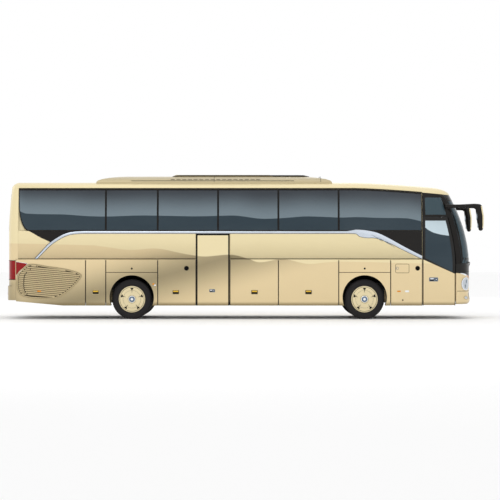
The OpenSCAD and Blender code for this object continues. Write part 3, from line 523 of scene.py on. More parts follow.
class Net:
    """A material under construction."""

    def __init__(self, name: str) -> None:
        """Starts an empty material."""
        self.material = bpy.data.materials.new(name)
        self.material.use_nodes = True
        self.tree = self.material.node_tree
        self.tree.nodes.clear()
        self.place = self.node("ShaderNodeTexCoord").outputs["Object"]
        split = self.node("ShaderNodeSeparateXYZ", {}, {0: self.place}).outputs
        self.x, self.y, self.z = (Tone(self, s) for s in split)

    def node(self, kind: str, settings: dict | None = None, values: dict | None = None) -> bpy.types.Node:
        """Adds a node.

        Args:
            kind: the node's type.
            settings: its settings, set first; a ramp's are its stops and its interpolation.
            values: what goes to its sockets, by name or number: a Tone, a socket or a plain value.

        Returns:
            The node.
        """
        node = self.tree.nodes.new(kind)
        for key, value in (settings or {}).items():
            if key == "stops":
                ramp = node.color_ramp
                ramp.elements.remove(ramp.elements[1])
                ramp.elements[0].position = value[0][0]
                for at, _ in value[1:]:
                    ramp.elements.new(at)
                for element, (_, level) in zip(ramp.elements, value):
                    element.color = (level, level, level, 1.0)
            elif key == "ramp":
                node.color_ramp.interpolation = value
            else:
                setattr(node, key, value)
        for key, value in (values or {}).items():
            value = value.socket if isinstance(value, Tone) else value
            if isinstance(value, bpy.types.NodeSocket):
                self.tree.links.new(value, node.inputs[key])
            else:
                colour = node.inputs[key].type == "RGBA" and len(value) == 3
                node.inputs[key].default_value = (*value, 1.0) if colour else value
        return node

    def curve(self, value: Tone, places: Sequence[Point], ease: str = "B_SPLINE") -> Tone:
        """A smooth line of heights over stations.

        Args:
            value: the station.
            places: (station, height) along the line.
            ease: how the ramp joins its stops.

        Returns:
            The height at the station.
        """
        x0, x1 = places[0][0], places[-1][0]
        low, high = min(p[1] for p in places), max(p[1] for p in places)
        span = (high - low) or 1.0
        stops = [((x - x0) / (x1 - x0), (h - low) / span) for x, h in places]
        along = (value - x0) * (1 / (x1 - x0))
        ramp = self.node("ShaderNodeValToRGB", {"stops": stops, "ramp": ease}, {0: along})
        return Tone(self, ramp.outputs[0]) * span + low

    def mix(self, amount: Tone | float, first: object, second: object) -> bpy.types.NodeSocket:
        """Returns the colour between two colours."""
        node = self.node("ShaderNodeMix", {"data_type": "RGBA"}, {0: amount, 6: first, 7: second})
        return node.outputs[2]

    def noise(self, size: float, detail: float = 3.0, stretch: Sequence[float] = (1, 1, 1)) -> Tone:
        """Returns a noise from 0 to 1 with features of about a size in metres."""
        stretched = self.node("ShaderNodeVectorMath", {"operation": "MULTIPLY"},
                              {0: self.place, 1: tuple(stretch)})
        values = {"Vector": stretched.outputs[0], "Scale": 1 / size, "Detail": detail}
        return Tone(self, self.node("ShaderNodeTexNoise", {}, values).outputs[0])

    def shade(self, values: dict, height: Tone | None = None, depth: float = 0.0) -> bpy.types.Material:
        """Ends the material.

        Args:
            values: what goes to the shader's sockets.
            height: a relief from 0 to 1, if it has one.
            depth: the relief's depth in metres.

        Returns:
            The material.
        """
        shader = self.node("ShaderNodeBsdfPrincipled", {}, values)
        if height is not None:
            bump = self.node("ShaderNodeBump", {}, {"Height": height, "Distance": depth, "Strength": 1.0})
            self.tree.links.new(bump.outputs[0], shader.inputs["Normal"])
        self.node("ShaderNodeOutputMaterial", {}, {0: shader.outputs[0]})
        return self.material


@dataclass(frozen=True)
class Finish:
    """A plain finish: a colour that varies a little from place to place, with a grain."""

    name: str
    colour: Colour
    rough: float = 0.5
    metallic: float = 0.0
    coat: float = 0.0
    grain: float = 0.02
    vary: float = 0.12
    relief: float = 0.0
    stretch: tuple[float, float, float] = (1, 1, 1)
    glow: float = 0.0
    shine: float = 0.5

    def build(self) -> bpy.types.Material:
        """Returns the finish as a material."""
        net = Net(self.name)
        fine, broad = net.noise(self.grain, 4, self.stretch), net.noise(0.9, 2)
        amount = fine * 0.6 + broad * 0.4
        dark = tuple(c * (1 - self.vary) for c in self.colour)
        light = tuple(min(1.0, c * (1 + self.vary)) for c in self.colour)
        values = {"Base Color": net.mix(amount.rise(0.3, 0.7), dark, light), "Metallic": self.metallic,
                  "Roughness": amount * 0.16 + (self.rough - 0.08), "Coat Weight": self.coat,
                  "Coat Roughness": 0.06, "Specular IOR Level": self.shine}
        if self.glow:
            values |= {"Emission Color": self.colour, "Emission Strength": self.glow}
        return net.shade(values, fine if self.relief else None, self.relief)


@dataclass(frozen=True)
class CoachPaint:
    """Champagne metallic paint in three tones, with painted light: a painted reflection of hills as a long wavy
    line along the sides with a dark band below it, and painted shade at the tucked foot and the lower rear
    corner.
    """

    name: str
    upper: Colour = tint(227, 212, 169)
    # painted reflection: the dark tone of the hills mirrored just below the wavy line; also the tone of the
    # painted shade at the lower rear corner
    crest: Colour = tint(145, 132, 101)
    lower: Colour = tint(220, 199, 156)
    # painted shade: the dark tone of the tucked foot
    foot: Colour = tint(128, 112, 76)
    black_line: tuple[Point, ...] = ()
    black: Colour = tint(20, 19, 17)
    shadow: float = 0.85
    # the wavy line of the painted reflection of the hills, as (station, height)
    wave: tuple[Point, ...] = (
        (-6.30, 2.000), (-3.93, 1.935), (-3.45, 1.870), (-3.07, 1.800), (-2.65, 1.835), (-2.30, 1.875),
        (-1.85, 1.770),
        (-1.31, 1.650), (-0.90, 1.630), (-0.33, 1.735), (0.15, 1.550), (0.42, 1.455), (0.84, 1.585),
        (1.18, 1.575),
        (1.62, 1.415), (2.05, 1.490), (2.60, 1.520), (4.20, 1.470), (6.30, 1.430),
    )

    def build(self) -> bpy.types.Material:
        """Returns the paint as a material."""
        net = Net(self.name)
        # painted reflection of hills: the upper tone above the wavy line, a dark band below it fading to the
        # lower tone
        crest = net.curve(net.x, self.wave)
        edge = (net.z - crest).rise(-0.012, 0.012)
        below = net.mix((net.x * 0.29 - net.z + 1.75).size().rise(-0.12, 1.0), self.crest, self.lower)
        body = net.mix(edge, below, self.upper)
        # painted shade darkening the lower rear corner
        corner = (-5.72 - net.x).rise(0.0, 0.45) * (1.16 - net.z).rise(0.0, 0.25) * 0.7
        body = net.mix(corner, body, self.crest)
        # painted shade darkening the tucked foot, which is also made less metallic
        foot = (0.47 - net.z).rise(0.0, 0.10) * self.shadow
        flake, cloud = net.noise(0.0025, 2), net.noise(0.6, 2)
        body = net.mix(foot, body, self.foot)
        body = net.mix((flake.rise(0.45, 0.75) * 0.05 + cloud * 0.03), body, tint(255, 246, 214))
        metal = 0.2 * (1 - foot)
        if self.black_line:
            mask = (net.z - net.curve(net.x, self.black_line, "LINEAR")).rise(-0.003, 0.003)
            body = net.mix(mask, body, self.black)
            metal = metal * (1 - mask)
        return net.shade({"Base Color": body, "Metallic": metal, "Roughness": flake * 0.08 + 0.30,
                          "Coat Weight": 0.15,
                          "Coat Roughness": 0.05, "Specular IOR Level": 0.2}, flake, 0.00004)


@dataclass(frozen=True)
class TintedGlass:
    """Dark tinted glass with a painted reflection of hills and sky: lighter above a wavy line."""

    name: str
    hill: tuple[Point, ...] = (
        (-6.00, 2.900), (-5.75, 2.740), (-4.75, 2.760), (-4.13, 2.690), (-3.40, 2.688), (-2.67, 2.735),
        (-1.33, 2.680),
        (-0.48, 2.722), (-0.08, 2.715), (0.45, 2.600), (1.26, 2.676), (1.71, 2.708), (2.52, 2.648),
        (2.94, 2.690),
        (3.54, 2.643), (4.25, 2.665), (4.64, 2.555), (6.30, 2.50),
    )
    top: Colour = tint(52, 56, 62)
    sky: Colour = tint(112, 126, 134)
    land: Colour = tint(42, 56, 65)
    clear: float = 0.06

    def build(self) -> bpy.types.Material:
        """Returns the glass as a material."""
        net = Net(self.name)
        # painted reflection: the land tone below the hill line, the sky tones above it, darker again towards
        # the top
        hill = net.curve(net.x, self.hill)
        above = (net.z - hill).rise(-0.006, 0.006)
        sky = net.mix((net.z - hill).rise(0.0, 0.72), self.sky, self.top)
        streak = net.noise(0.5, 2, (0.3, 1, 1)) * 0.05
        colour = net.mix(streak, net.mix(above, self.land, sky), tint(160, 172, 178))
        return net.shade({"Base Color": colour, "Roughness": streak * 0.3 + 0.03, "Alpha": 1 - self.clear,
                          "Specular IOR Level": 0.16})


@dataclass(frozen=True)
class Cloth:
    """Woven seat cloth with a fine diagonal figure."""

    name: str
    colour: Colour = tint(70, 80, 112)
    thread: Colour = tint(120, 128, 150)
    pitch: float = 0.006

    def build(self) -> bpy.types.Material:
        """Returns the cloth as a material."""
        net = Net(self.name)
        k = 2 * math.pi / self.pitch
        weave = (net.y * k).wave() * ((net.z + net.x) * k).wave() * 0.5 + 0.5
        figure = (((net.y + net.z) * (k / 9)).wave() * ((net.y - net.z) * (k / 9)).wave()).rise(0.5, 0.8)
        worn = net.noise(0.12, 3)
        base = net.mix(weave * 0.35 + figure * 0.35, self.colour, self.thread)
        base = net.mix(worn * 0.25, base, tint(96, 100, 118))
        return net.shade({"Base Color": base, "Roughness": worn * 0.1 + 0.82, "Sheen Weight": 0.25}, weave,
                         0.0006)


@dataclass(frozen=True)
class LampLens:
    """A moulded lens with fine flutes over a bright reflector."""

    name: str
    colour: Colour
    deep: Colour
    pitch: float = 0.012
    glow: float = 0.0

    def build(self) -> bpy.types.Material:
        """Returns the lens as a material."""
        net = Net(self.name)
        k = 2 * math.pi / self.pitch
        flute = (net.z * k).wave() * 0.5 + 0.5
        cells = ((net.x + net.y) * k).wave() * 0.5 + 0.5
        cloud = net.noise(0.12, 2)
        colour = net.mix((flute * cells * 0.45 + cloud * 0.4), self.colour, self.deep)
        return net.shade({"Base Color": colour, "Roughness": cloud * 0.1 + 0.08, "Coat Weight": 0.2,
                          "Specular IOR Level": 0.2, "Emission Color": self.colour,
                          "Emission Strength": self.glow}, flute, 0.0008)


class Finishes:
    """All the coach's materials."""

    def __init__(self) -> None:
        """Builds each material once."""
        door_line = ((4.6730, 1.564), (5.5220, 1.182))
        nose_line = ((5.50, 1.215), (5.75, 1.190), (5.90, 1.085), (6.00, 1.020))
        self.paint = CoachPaint("champagne_paint").build()
        # painted shade: the climate unit takes the body paint with a darker upper tone
        self.pod_paint = CoachPaint("pod_paint", upper=tint(188, 174, 138)).build()
        self.door_paint = CoachPaint("door_paint", black_line=door_line).build()
        self.nose_paint = CoachPaint("nose_paint", black_line=nose_line).build()
        self.glass = TintedGlass("side_glass").build()
        # painted reflection of hills and sky on the door glass: a low hill line and light sky tones
        self.door_glass = TintedGlass(
            "door_glass", hill=((4.70, 2.43), (4.80, 2.34), (4.95, 2.26), (5.15, 2.215), (5.45, 2.17)),
            top=tint(176, 190, 198), sky=tint(196, 212, 220)).build()
        self.front_glass = TintedGlass("front_glass", hill=((4.5, 4.2), (6.3, 4.2)), land=tint(58, 76, 84),
                                       clear=0.16).build()
        plain = (
            Finish("gloss_black", tint(26, 24, 22), 0.16, grain=0.3, shine=0.16),
            Finish("rubber_black", tint(24, 23, 22), 0.62, grain=0.006, relief=0.0002, shine=0.12),
            Finish("arch_black", tint(10, 10, 10), 0.8, grain=0.01, relief=0.0004, shine=0.08),
            Finish("tyre_rubber", tint(30, 28, 29), 0.6, grain=0.004, relief=0.0003, shine=0.2),
            Finish("silver", tint(196, 204, 214), 0.24, metallic=0.85, coat=0.3, grain=0.5, vary=0.05),
            Finish("chrome", tint(226, 230, 236), 0.1, metallic=1.0, grain=0.4, vary=0.04),
            Finish("slat_paint", tint(186, 168, 128), 0.4, metallic=0.1, coat=0.1, grain=0.05, vary=0.04),
            Finish("cover_paint", tint(222, 207, 165), 0.32, metallic=0.15, coat=0.3, grain=0.2, vary=0.03),
            Finish("hub_blue", tint(92, 112, 134), 0.3, metallic=0.5, grain=0.02),
            Finish("pale_enamel", tint(232, 234, 236), 0.25, coat=0.5, grain=0.02, vary=0.03),
            Finish("grille_dark", tint(66, 58, 44), 0.7, grain=0.01, relief=0.0003, shine=0.1),
            Finish("handle_yellow", tint(222, 178, 30), 0.3, coat=0.2, grain=0.01),
            Finish("amber", tint(222, 140, 14), 0.15, coat=0.5, grain=0.01),
            Finish("chassis_black", tint(28, 28, 29), 0.55, coat=0.1, grain=0.03, relief=0.0004),
            Finish("cast_iron", tint(52, 52, 54), 0.6, metallic=0.4, grain=0.006, relief=0.0005),
            Finish("engine_metal", tint(112, 114, 116), 0.5, metallic=0.6, grain=0.01, relief=0.0006),
            Finish("floor_cover", tint(62, 62, 66), 0.75, grain=0.004, relief=0.0004),
            Finish("dash_plastic", tint(48, 48, 52), 0.6, grain=0.0015, relief=0.0003),
            Finish("seat_shell", tint(88, 90, 96), 0.5, grain=0.002, relief=0.0002),
            Finish("mirror_glass", tint(150, 162, 170), 0.04, metallic=1.0, grain=0.5, vary=0.03),
            Finish("device_grey", tint(96, 112, 130), 0.35, coat=0.3, grain=0.01),
            Finish("plate_white", tint(214, 214, 208), 0.45, grain=0.02, vary=0.03),
            Finish("pod_cover", tint(20, 20, 21), 0.45, grain=0.02, relief=0.0003),
            Finish("hold_lining", tint(120, 118, 112), 0.85, grain=0.004, relief=0.0004),
        )
        self.plain = {f.name: f.build() for f in plain}
        self.cloth = Cloth("seat_cloth").build()
        self.red = LampLens("red_lens", tint(150, 2, 6), tint(84, 0, 2), glow=0.05).build()
        self.clear = LampLens("clear_lens", tint(216, 222, 228), tint(120, 128, 138)).build()

    def __getitem__(self, name: str) -> bpy.types.Material:
        """Returns a plain finish by name."""
        return self.plain[name]


# ---------------------------------------------------------------- the coach


@dataclass
class Workshop:
    """What every sub-assembly uses."""

    frame: dict
    skin: Skin
    finish: Finishes
    repeat: Repeater

    def add(self, name: str, mesh: bpy.types.Mesh, material: bpy.types.Material, body: str, slot: Slot,
            edge: float = 0.0, stands_for: Sequence[str] = ()) -> bpy.types.Object:
        """Adds a finished piece.

        Args:
            name: the piece's name.
            mesh: its mesh, in place.
            material: its material.
            body: the body it rides on.
            slot: the record's finish meant for it; not used.
            edge: width of the rounding on its edges, in metres.
            stands_for: the fixed model's nodes it replaces.

        Returns:
            The piece.
        """
        mesh.materials.clear()
        mesh.materials.append(material)
        mesh.name = name
        piece = bpy.data.objects.new(name, mesh)
        bpy.context.collection.objects.link(piece)
        if edge:
            mod = piece.modifiers.new("edge", "BEVEL")
            mod.width, mod.segments, mod.limit_method = edge, 2, "ANGLE"
            mod.angle_limit, mod.harden_normals = math.radians(40), True
        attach(piece, body)
        if stands_for:
            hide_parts(*stands_for)
        log.info("%s rides on %s", name, body)
        return piece

    def make(self, name: str, shape: Solid, material: bpy.types.Material, body: str = COACH,
             slot: Slot = Slot.TRIM,
             edge: float = 0.0, smooth: float = 35.0) -> bpy.types.Object:
        """Adds a piece from collected shapes; the arguments are those of add."""
        return self.add(name, shape.mesh(name, smooth), material, body, slot, edge)

    def refine(self, node: str, material: bpy.types.Material, edge: float = 0.0, smooth: float = 35.0,
               flat: float = 0.05) -> bpy.types.Object:
        """Replaces a node by a merged copy with smooth shading and rounded edges.

        Args:
            node: the fixed model's node.
            material: the copy's material.
            edge: width of the rounding on its edges, in metres.
            smooth: angle in degrees above which an edge looks sharp.
            flat: angle in degrees under which faces join.

        Returns:
            The copy.
        """
        mesh = self.frame["nodes"][node].data.copy()
        tidy(mesh, 2e-5, flat)
        mesh.shade_smooth()
        mesh.set_sharp_from_angle(angle=math.radians(smooth))
        if "UVMap" in mesh.uv_layers:
            mesh.uv_layers.remove(mesh.uv_layers["UVMap"])
        return self.add(f"{node}_skin", mesh, material, self.body_of(node), self.slot_of(node), edge, (node,))

    def body_of(self, node: str) -> str:
        """Returns the body that a node belongs to."""
        bodies = self.frame["record"]["behaviour"]["bodies"]
        return next(body for body, nodes in bodies.items() if node in nodes)

    def slot_of(self, node: str) -> Slot:
        """Returns the record's finish for a node."""
        parts = self.frame["record"]["subparts"]
        return Slot(next(p["material_slot"] for p in parts if p["node"] == node))

    def plate(self, shape: Solid, outline: Sequence[Point], side: Side, proud: float = 0.002,
              sunk: float = 0.002) -> Solid:
        """Adds to a shape a flat plate on one side of the coach, with an outline of (x, z)."""
        return shape.prism([self.skin.side(x, z, side, proud) for x, z in outline],
                           [self.skin.side(x, z, side, -sunk) for x, z in outline])

    def hoop(self, shape: Solid, outer: Sequence[Point], inner: Sequence[Point], side: Side,
             proud: float = 0.004,
             sunk: float = 0.002) -> Solid:
        """Adds to a shape a ring on one side of the coach, between two outlines of (x, z)."""
        rows = [[self.skin.side(x, z, side, d) for x, z in line]
                for line, d in ((outer, -sunk), (outer, proud), (inner, proud), (inner, -sunk))]
        return shape.ring(rows)


@dataclass
class Body:
    """Body panels, the roof and the climate unit."""

    shop: Workshop
    fine_edge: float = 0.003

    def build(self) -> None:
        """Dresses every painted panel."""
        shop, paint = self.shop, self.shop.finish.paint
        for node in ("roof", "rear_end", "rear_bumper", "front_bumper"):
            shop.refine(node, paint, smooth=38)
        # the climate unit's paint carries painted shade
        shop.refine("climate_unit", shop.finish.pod_paint, smooth=38)
        shop.refine("front_panel", shop.finish.nose_paint, smooth=38)
        shop.refine("driver_side_panel", shop.finish.door_paint, smooth=38)
        for node in ("right_side", "left_side", "skirts"):
            shop.refine(node, paint, smooth=30)
        for side in ("right", "left"):
            for part in ("rear", "middle", "front", "service", "engine"):
                shop.refine(f"{side}_{part}_flap", paint, self.fine_edge, 30)
        shop.refine("middle_door", paint, self.fine_edge, 30)
        shop.refine("engine_lid", paint, self.fine_edge, 30)
        self.roof_trim()

    def roof_trim(self) -> None:
        """Adds the climate unit's cover, seams, side louvres and the roof's drip rails."""
        shop = self.shop
        cover = Solid()
        x0, x1, top = -1.906, 1.710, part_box("climate_unit")[1].z
        xs = steps(x0, x1, 24)
        rows = []
        for x in xs:
            lift = unit(min(x - x0, x1 - x) / 0.16) * 0.038
            rows.append([Vector((x, 0.646 * math.sin(math.radians(9 * k)), top - 0.039 + lift
                                 - 0.006 * abs(k / 10) ** 4)) for k in range(-10, 11)])
        cover.sheet(rows, [[p - Vector((0, 0, 0.02)) for p in row] for row in rows])
        shop.make("pod_cover", cover, shop.finish["pod_cover"], smooth=30)
        fans = Solid()
        for x in (-1.3, -0.1, 1.1):
            for r, wall, shallow, deep in ((0.30, 0.025, 0.0005, 0.012), (0.07, 0.008, 0.001, 0.01),
                                           (0.13, 0.008, 0.001, 0.01), (0.19, 0.008, 0.001, 0.01),
                                           (0.24, 0.008, 0.001, 0.01)):
                fans.ring([circle(x, 0, top - d, q) for q, d in
                           ((r, deep), (r, shallow), (r - wall, shallow), (r - wall, deep))])
        shop.make("fan_guards", fans, shop.finish["cast_iron"])
        seams = Solid()
        for x in (-0.811, 2.0):
            turns = [math.sin(math.radians(9 * k)) for k in range(-10, 11)]
            seams.tube([Vector((x, 0.979 * t, 3.605 + 0.166 * math.sqrt(max(0.0, 1 - abs(t) ** 5)) - 0.003))
                        for t in turns], 0.006, 8)
        for side in Side:
            seams.box((-3.0, min(side.value * 0.972, side.value * 0.984), 3.640),
                      (1.3, max(side.value * 0.972, side.value * 0.984), 3.646))
        shop.make("pod_seams", seams, shop.finish["rubber_black"])
        slot = Solid().box((-0.055, -0.006, -0.006), (0.055, 0.006, 0.006))
        for side in Side:
            mesh = shop.repeat.run(slot, shop.finish["rubber_black"], 16, step=(0.15, 0, 0),
                                   place=(-1.9, side.value * 0.9775, 3.675))
            shop.add(f"pod_slots_{side.tag}", mesh, shop.finish["rubber_black"], COACH, Slot.TRIM)


@dataclass
class Seams:
    """The dark lines of rubber round doors, flaps and fixed panels."""

    shop: Workshop
    line: float = 0.008
    seam_z: float = 1.574
    proud: float = 0.0012

    def build(self) -> None:
        """Adds the rubber edges on every flap and panel."""
        shop = self.shop
        for side in Side:
            names = [f"{side.tag}_{part}_flap" for part in ("rear", "middle", "front", "service", "engine")]
            for node in names:
                low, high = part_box(node)
                edges = Solid()
                for x in (low.x, high.x - self.line):
                    self.upright(edges, x, side, high.z - 0.020)
                shop.make(f"{node}_edges", edges, shop.finish["rubber_black"], node)
            self.fixed(side)

    def upright(self, shape: Solid, x: float, side: Side, top: float, width: float | None = None) -> None:
        """Adds an upright strip that follows a panel's tucked foot, from its rear edge at x."""
        width = width or self.line
        foot = self.shop.skin.keel(x) + 0.002
        w = self.shop.skin.half_w
        rows = [(foot, w - 0.028), (0.406, w - 0.0084), (0.456, w), (top, w)]
        rows = [(z, y) for z, y in rows if z >= foot]
        if foot > rows[0][0]:
            rows.insert(0, (foot, w))
        sign = side.value
        lines = []
        for dx, dy in ((0, -0.002), (0, self.proud), (width, self.proud), (width, -0.002)):
            lines.append([Vector((x + dx, sign * (y + dy), z)) for z, y in rows])
        shape.ring(lines, open_ends=True)

    def fixed(self, side: Side) -> None:
        """Adds the strips on the fixed panels and along the side wall's foot."""
        shop = self.shop
        low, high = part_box("right_side" if side is Side.RIGHT else "left_side")
        strips = Solid()
        spans = [(low.x, high.x)]
        if side is Side.RIGHT:
            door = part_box("middle_door")
            spans = [(low.x, door[0].x - 0.010), (door[1].x + 0.010, high.x)]
        for x0, x1 in spans:
            z0, z1 = self.seam_z, self.seam_z + 0.014
            shop.plate(strips, [(x0, z0), (x1, z0), (x1, z1), (x0, z1)], side, self.proud)
        arches = [sum(end.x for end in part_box(node)) / 2 for node in ("front_right_tyre", "rear_right_tyres")]
        half = 0.680
        for x in arches:
            for edge in (x - half + 0.004, x + half - 0.012):
                self.upright(strips, edge, side, self.seam_z - 0.03)
            x0, x1 = x - half + 0.012, x + half - 0.012
            shop.plate(strips, [(x0, 1.219), (x1, 1.219), (x1, 1.233), (x0, 1.233)], side, self.proud)
            shop.plate(strips, oval(x, 1.326, 0.026, 0.026, cuts=20), side, 0.004)
            self.lip(x, side)
        self.upright(strips, arches[0] + half + 0.004, side, self.seam_z - 0.03)
        self.upright(strips, high.x - 0.012, side, self.seam_z - 0.03)
        shop.make(f"panel_seams_{side.tag}", strips, shop.finish["rubber_black"])

    def lip(self, x: float, side: Side) -> None:
        """Adds the painted lip and the black rubber edge of one wheel arch; the black edge is partly real trim
        and partly painted shade in the gap over the tyre.
        """
        shop, skin = self.shop, self.shop.skin
        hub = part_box("front_right_tyre")[1].z / 2 + 0.050
        floor = skin.keel(x) + 0.012

        def arc(radius: float) -> list[Point]:
            """Returns the arch's line at a radius, down to the skirt's foot."""
            low = math.asin((floor - hub) / radius)
            return [(x + radius * math.cos(a), hub + radius * math.sin(a))
                    for a in (low + (math.pi - 2 * low) * k / 48 for k in range(49))]

        def band(inner: float, outer: float, proud: float, sunk: float, top: float) -> Solid:
            """Returns a band round the arch between two radii."""
            rows = []
            for radius, depth in ((outer, -sunk), (outer, proud * top), (inner, proud), (inner, -sunk)):
                rows.append([Vector((p, side.value * (skin.half_w + depth - (0.020 if z < 0.43 else 0.0)), z))
                             for p, z in arc(radius)])
            return Solid().ring(rows, open_ends=True)

        name = f"{'front' if x > 0 else 'rear'}_{side.tag}"
        shop.make(f"arch_lip_{name}", band(0.581, 0.604, 0.007, 0.01, 0.4), shop.finish.paint,
                  slot=Slot.PAINT, smooth=50)
        # black rubber edge: partly real trim, partly painted shade of the dark gap between arch and tyre
        shop.make(f"arch_rubber_{name}", band(0.566, 0.5815, 0.001, 0.050, 1.0), shop.finish["arch_black"],
                  smooth=50)


@dataclass
class Waistline:
    """The silver strip along each side, its fin at the front and the black panels that meet it."""

    shop: Workshop
    foot: float = 1.590
    band_low: float = 2.248
    band_high: float = 2.308
    rear_top: tuple[Point, ...] = ((-5.500, 1.590), (-5.330, 1.770), (-5.113, 1.999), (-4.851, 2.172),
                                   (-4.678, 2.250),
                                   (-4.503, 2.290), (-4.243, 2.308))
    rear_low: tuple[Point, ...] = ((-5.430, 1.590), (-5.275, 1.752), (-5.068, 1.955), (-4.806, 2.124),
                                   (-4.592, 2.212),
                                   (-4.330, 2.244), (-4.150, 2.248))
    fin_top: tuple[Point, ...] = ((2.760, 2.308), (2.835, 2.345), (3.010, 2.346), (3.220, 2.322),
                                  (3.480, 2.262),
                                  (3.760, 2.130), (4.200, 1.888), (4.640, 1.662))
    fin_low: tuple[Point, ...] = ((2.760, 2.248), (2.930, 2.236), (3.010, 2.165), (3.180, 2.134),
                                  (3.400, 2.132),
                                  (3.600, 2.072), (3.860, 1.962), (4.250, 1.764), (4.640, 1.580))

    def build(self) -> None:
        """Adds both sides' strips and panels."""
        for side in Side:
            self.strip(side)
            self.panels(side)

    def strip(self, side: Side) -> None:
        """Adds one side's silver strip as one crowned band."""
        shop, skin = self.shop, self.shop.skin
        cuts = 14
        top = spline(self.rear_top, 4) + [(-4.243 + 7.0 * k / cuts, self.band_high) for k in range(1, cuts)] \
            + spline(self.fin_top, 5)
        low = spline(self.rear_low, 4) + [(-4.150 + 6.9 * k / cuts, self.band_low) for k in range(1, cuts)] \
            + spline(self.fin_low, 5)
        n = 90
        upper, lower = self.even(top, n), self.even(low, n)
        rows = []
        crown = ((0.0, -0.003), (0.0, 0.003), (0.22, 0.009), (0.5, 0.011), (0.78, 0.009), (1.0, 0.003),
                 (1.0, -0.003))
        for share, proud in crown:
            rows.append([skin.side(a[0] + (b[0] - a[0]) * share, a[1] + (b[1] - a[1]) * share, side, proud)
                         for a, b in zip(lower, upper)])
        shop.make(f"waist_strip_{side.tag}", Solid().ring(rows, open_ends=True), shop.finish["silver"],
                  smooth=50)
        lines = Solid()
        for line, d in ((upper, 0.004), (lower, -0.004)):
            lines.tube([skin.side(x, z + d, side, 0.003) for x, z in line], 0.0055, 6)
        shop.make(f"waist_lines_{side.tag}", lines, shop.finish["rubber_black"], smooth=50)
        barbs = Solid()
        for k in range(3):
            x, z = 3.30 + 0.16 * k, 2.218 - 0.050 * k - 0.014 * k * k
            barbs.tube([skin.side(x + 0.30 * t, z - 0.150 * t - 0.03 * t * t, side, 0.0105)
                        for t in steps(0, 1, 4)], [0.002, 0.005, 0.006, 0.005, 0.002], 6)
        shop.make(f"fin_flutes_{side.tag}", barbs, shop.finish["device_grey"], smooth=50)

    def panels(self, side: Side) -> None:
        """Adds the black panels under the last window and before the front door."""
        shop = self.shop
        sill = shop.skin.sill + 0.002
        rear = [(-5.672, sill), (-5.610, 2.285), (-5.524, 2.237), (-5.430, 2.180), (-5.327, 2.125),
                (-5.200, 2.068),
                (-5.100, 2.018), *(p for p in spline(self.rear_top, 4) if -5.09 < p[0] < -4.55),
                (-4.400, 2.300), (-4.30, sill)]
        front = [(3.520, 2.256), (3.760, 2.134), (4.200, 1.893), (4.645, 1.668), (4.645, sill), (3.30, sill)]
        shape = Solid()
        for outline in (rear, front):
            shop.plate(shape, outline, side, 0.0012)
        shop.make(f"black_panels_{side.tag}", shape, shop.finish["gloss_black"])

    @staticmethod
    def even(line: Sequence[Point], count: int) -> list[Point]:
        """Returns count places at even distances along a line."""
        lengths = [0.0]
        for a, b in zip(line, line[1:]):
            lengths.append(lengths[-1] + math.dist(a, b))
        out, k = [], 0
        for i in range(count):
            at = lengths[-1] * i / (count - 1)
            while k < len(line) - 2 and lengths[k + 1] < at:
                k += 1
            t = (at - lengths[k]) / ((lengths[k + 1] - lengths[k]) or 1.0)
            a, b = line[k], line[k + 1]
            out.append((a[0] + (b[0] - a[0]) * t, a[1] + (b[1] - a[1]) * t))
        return out


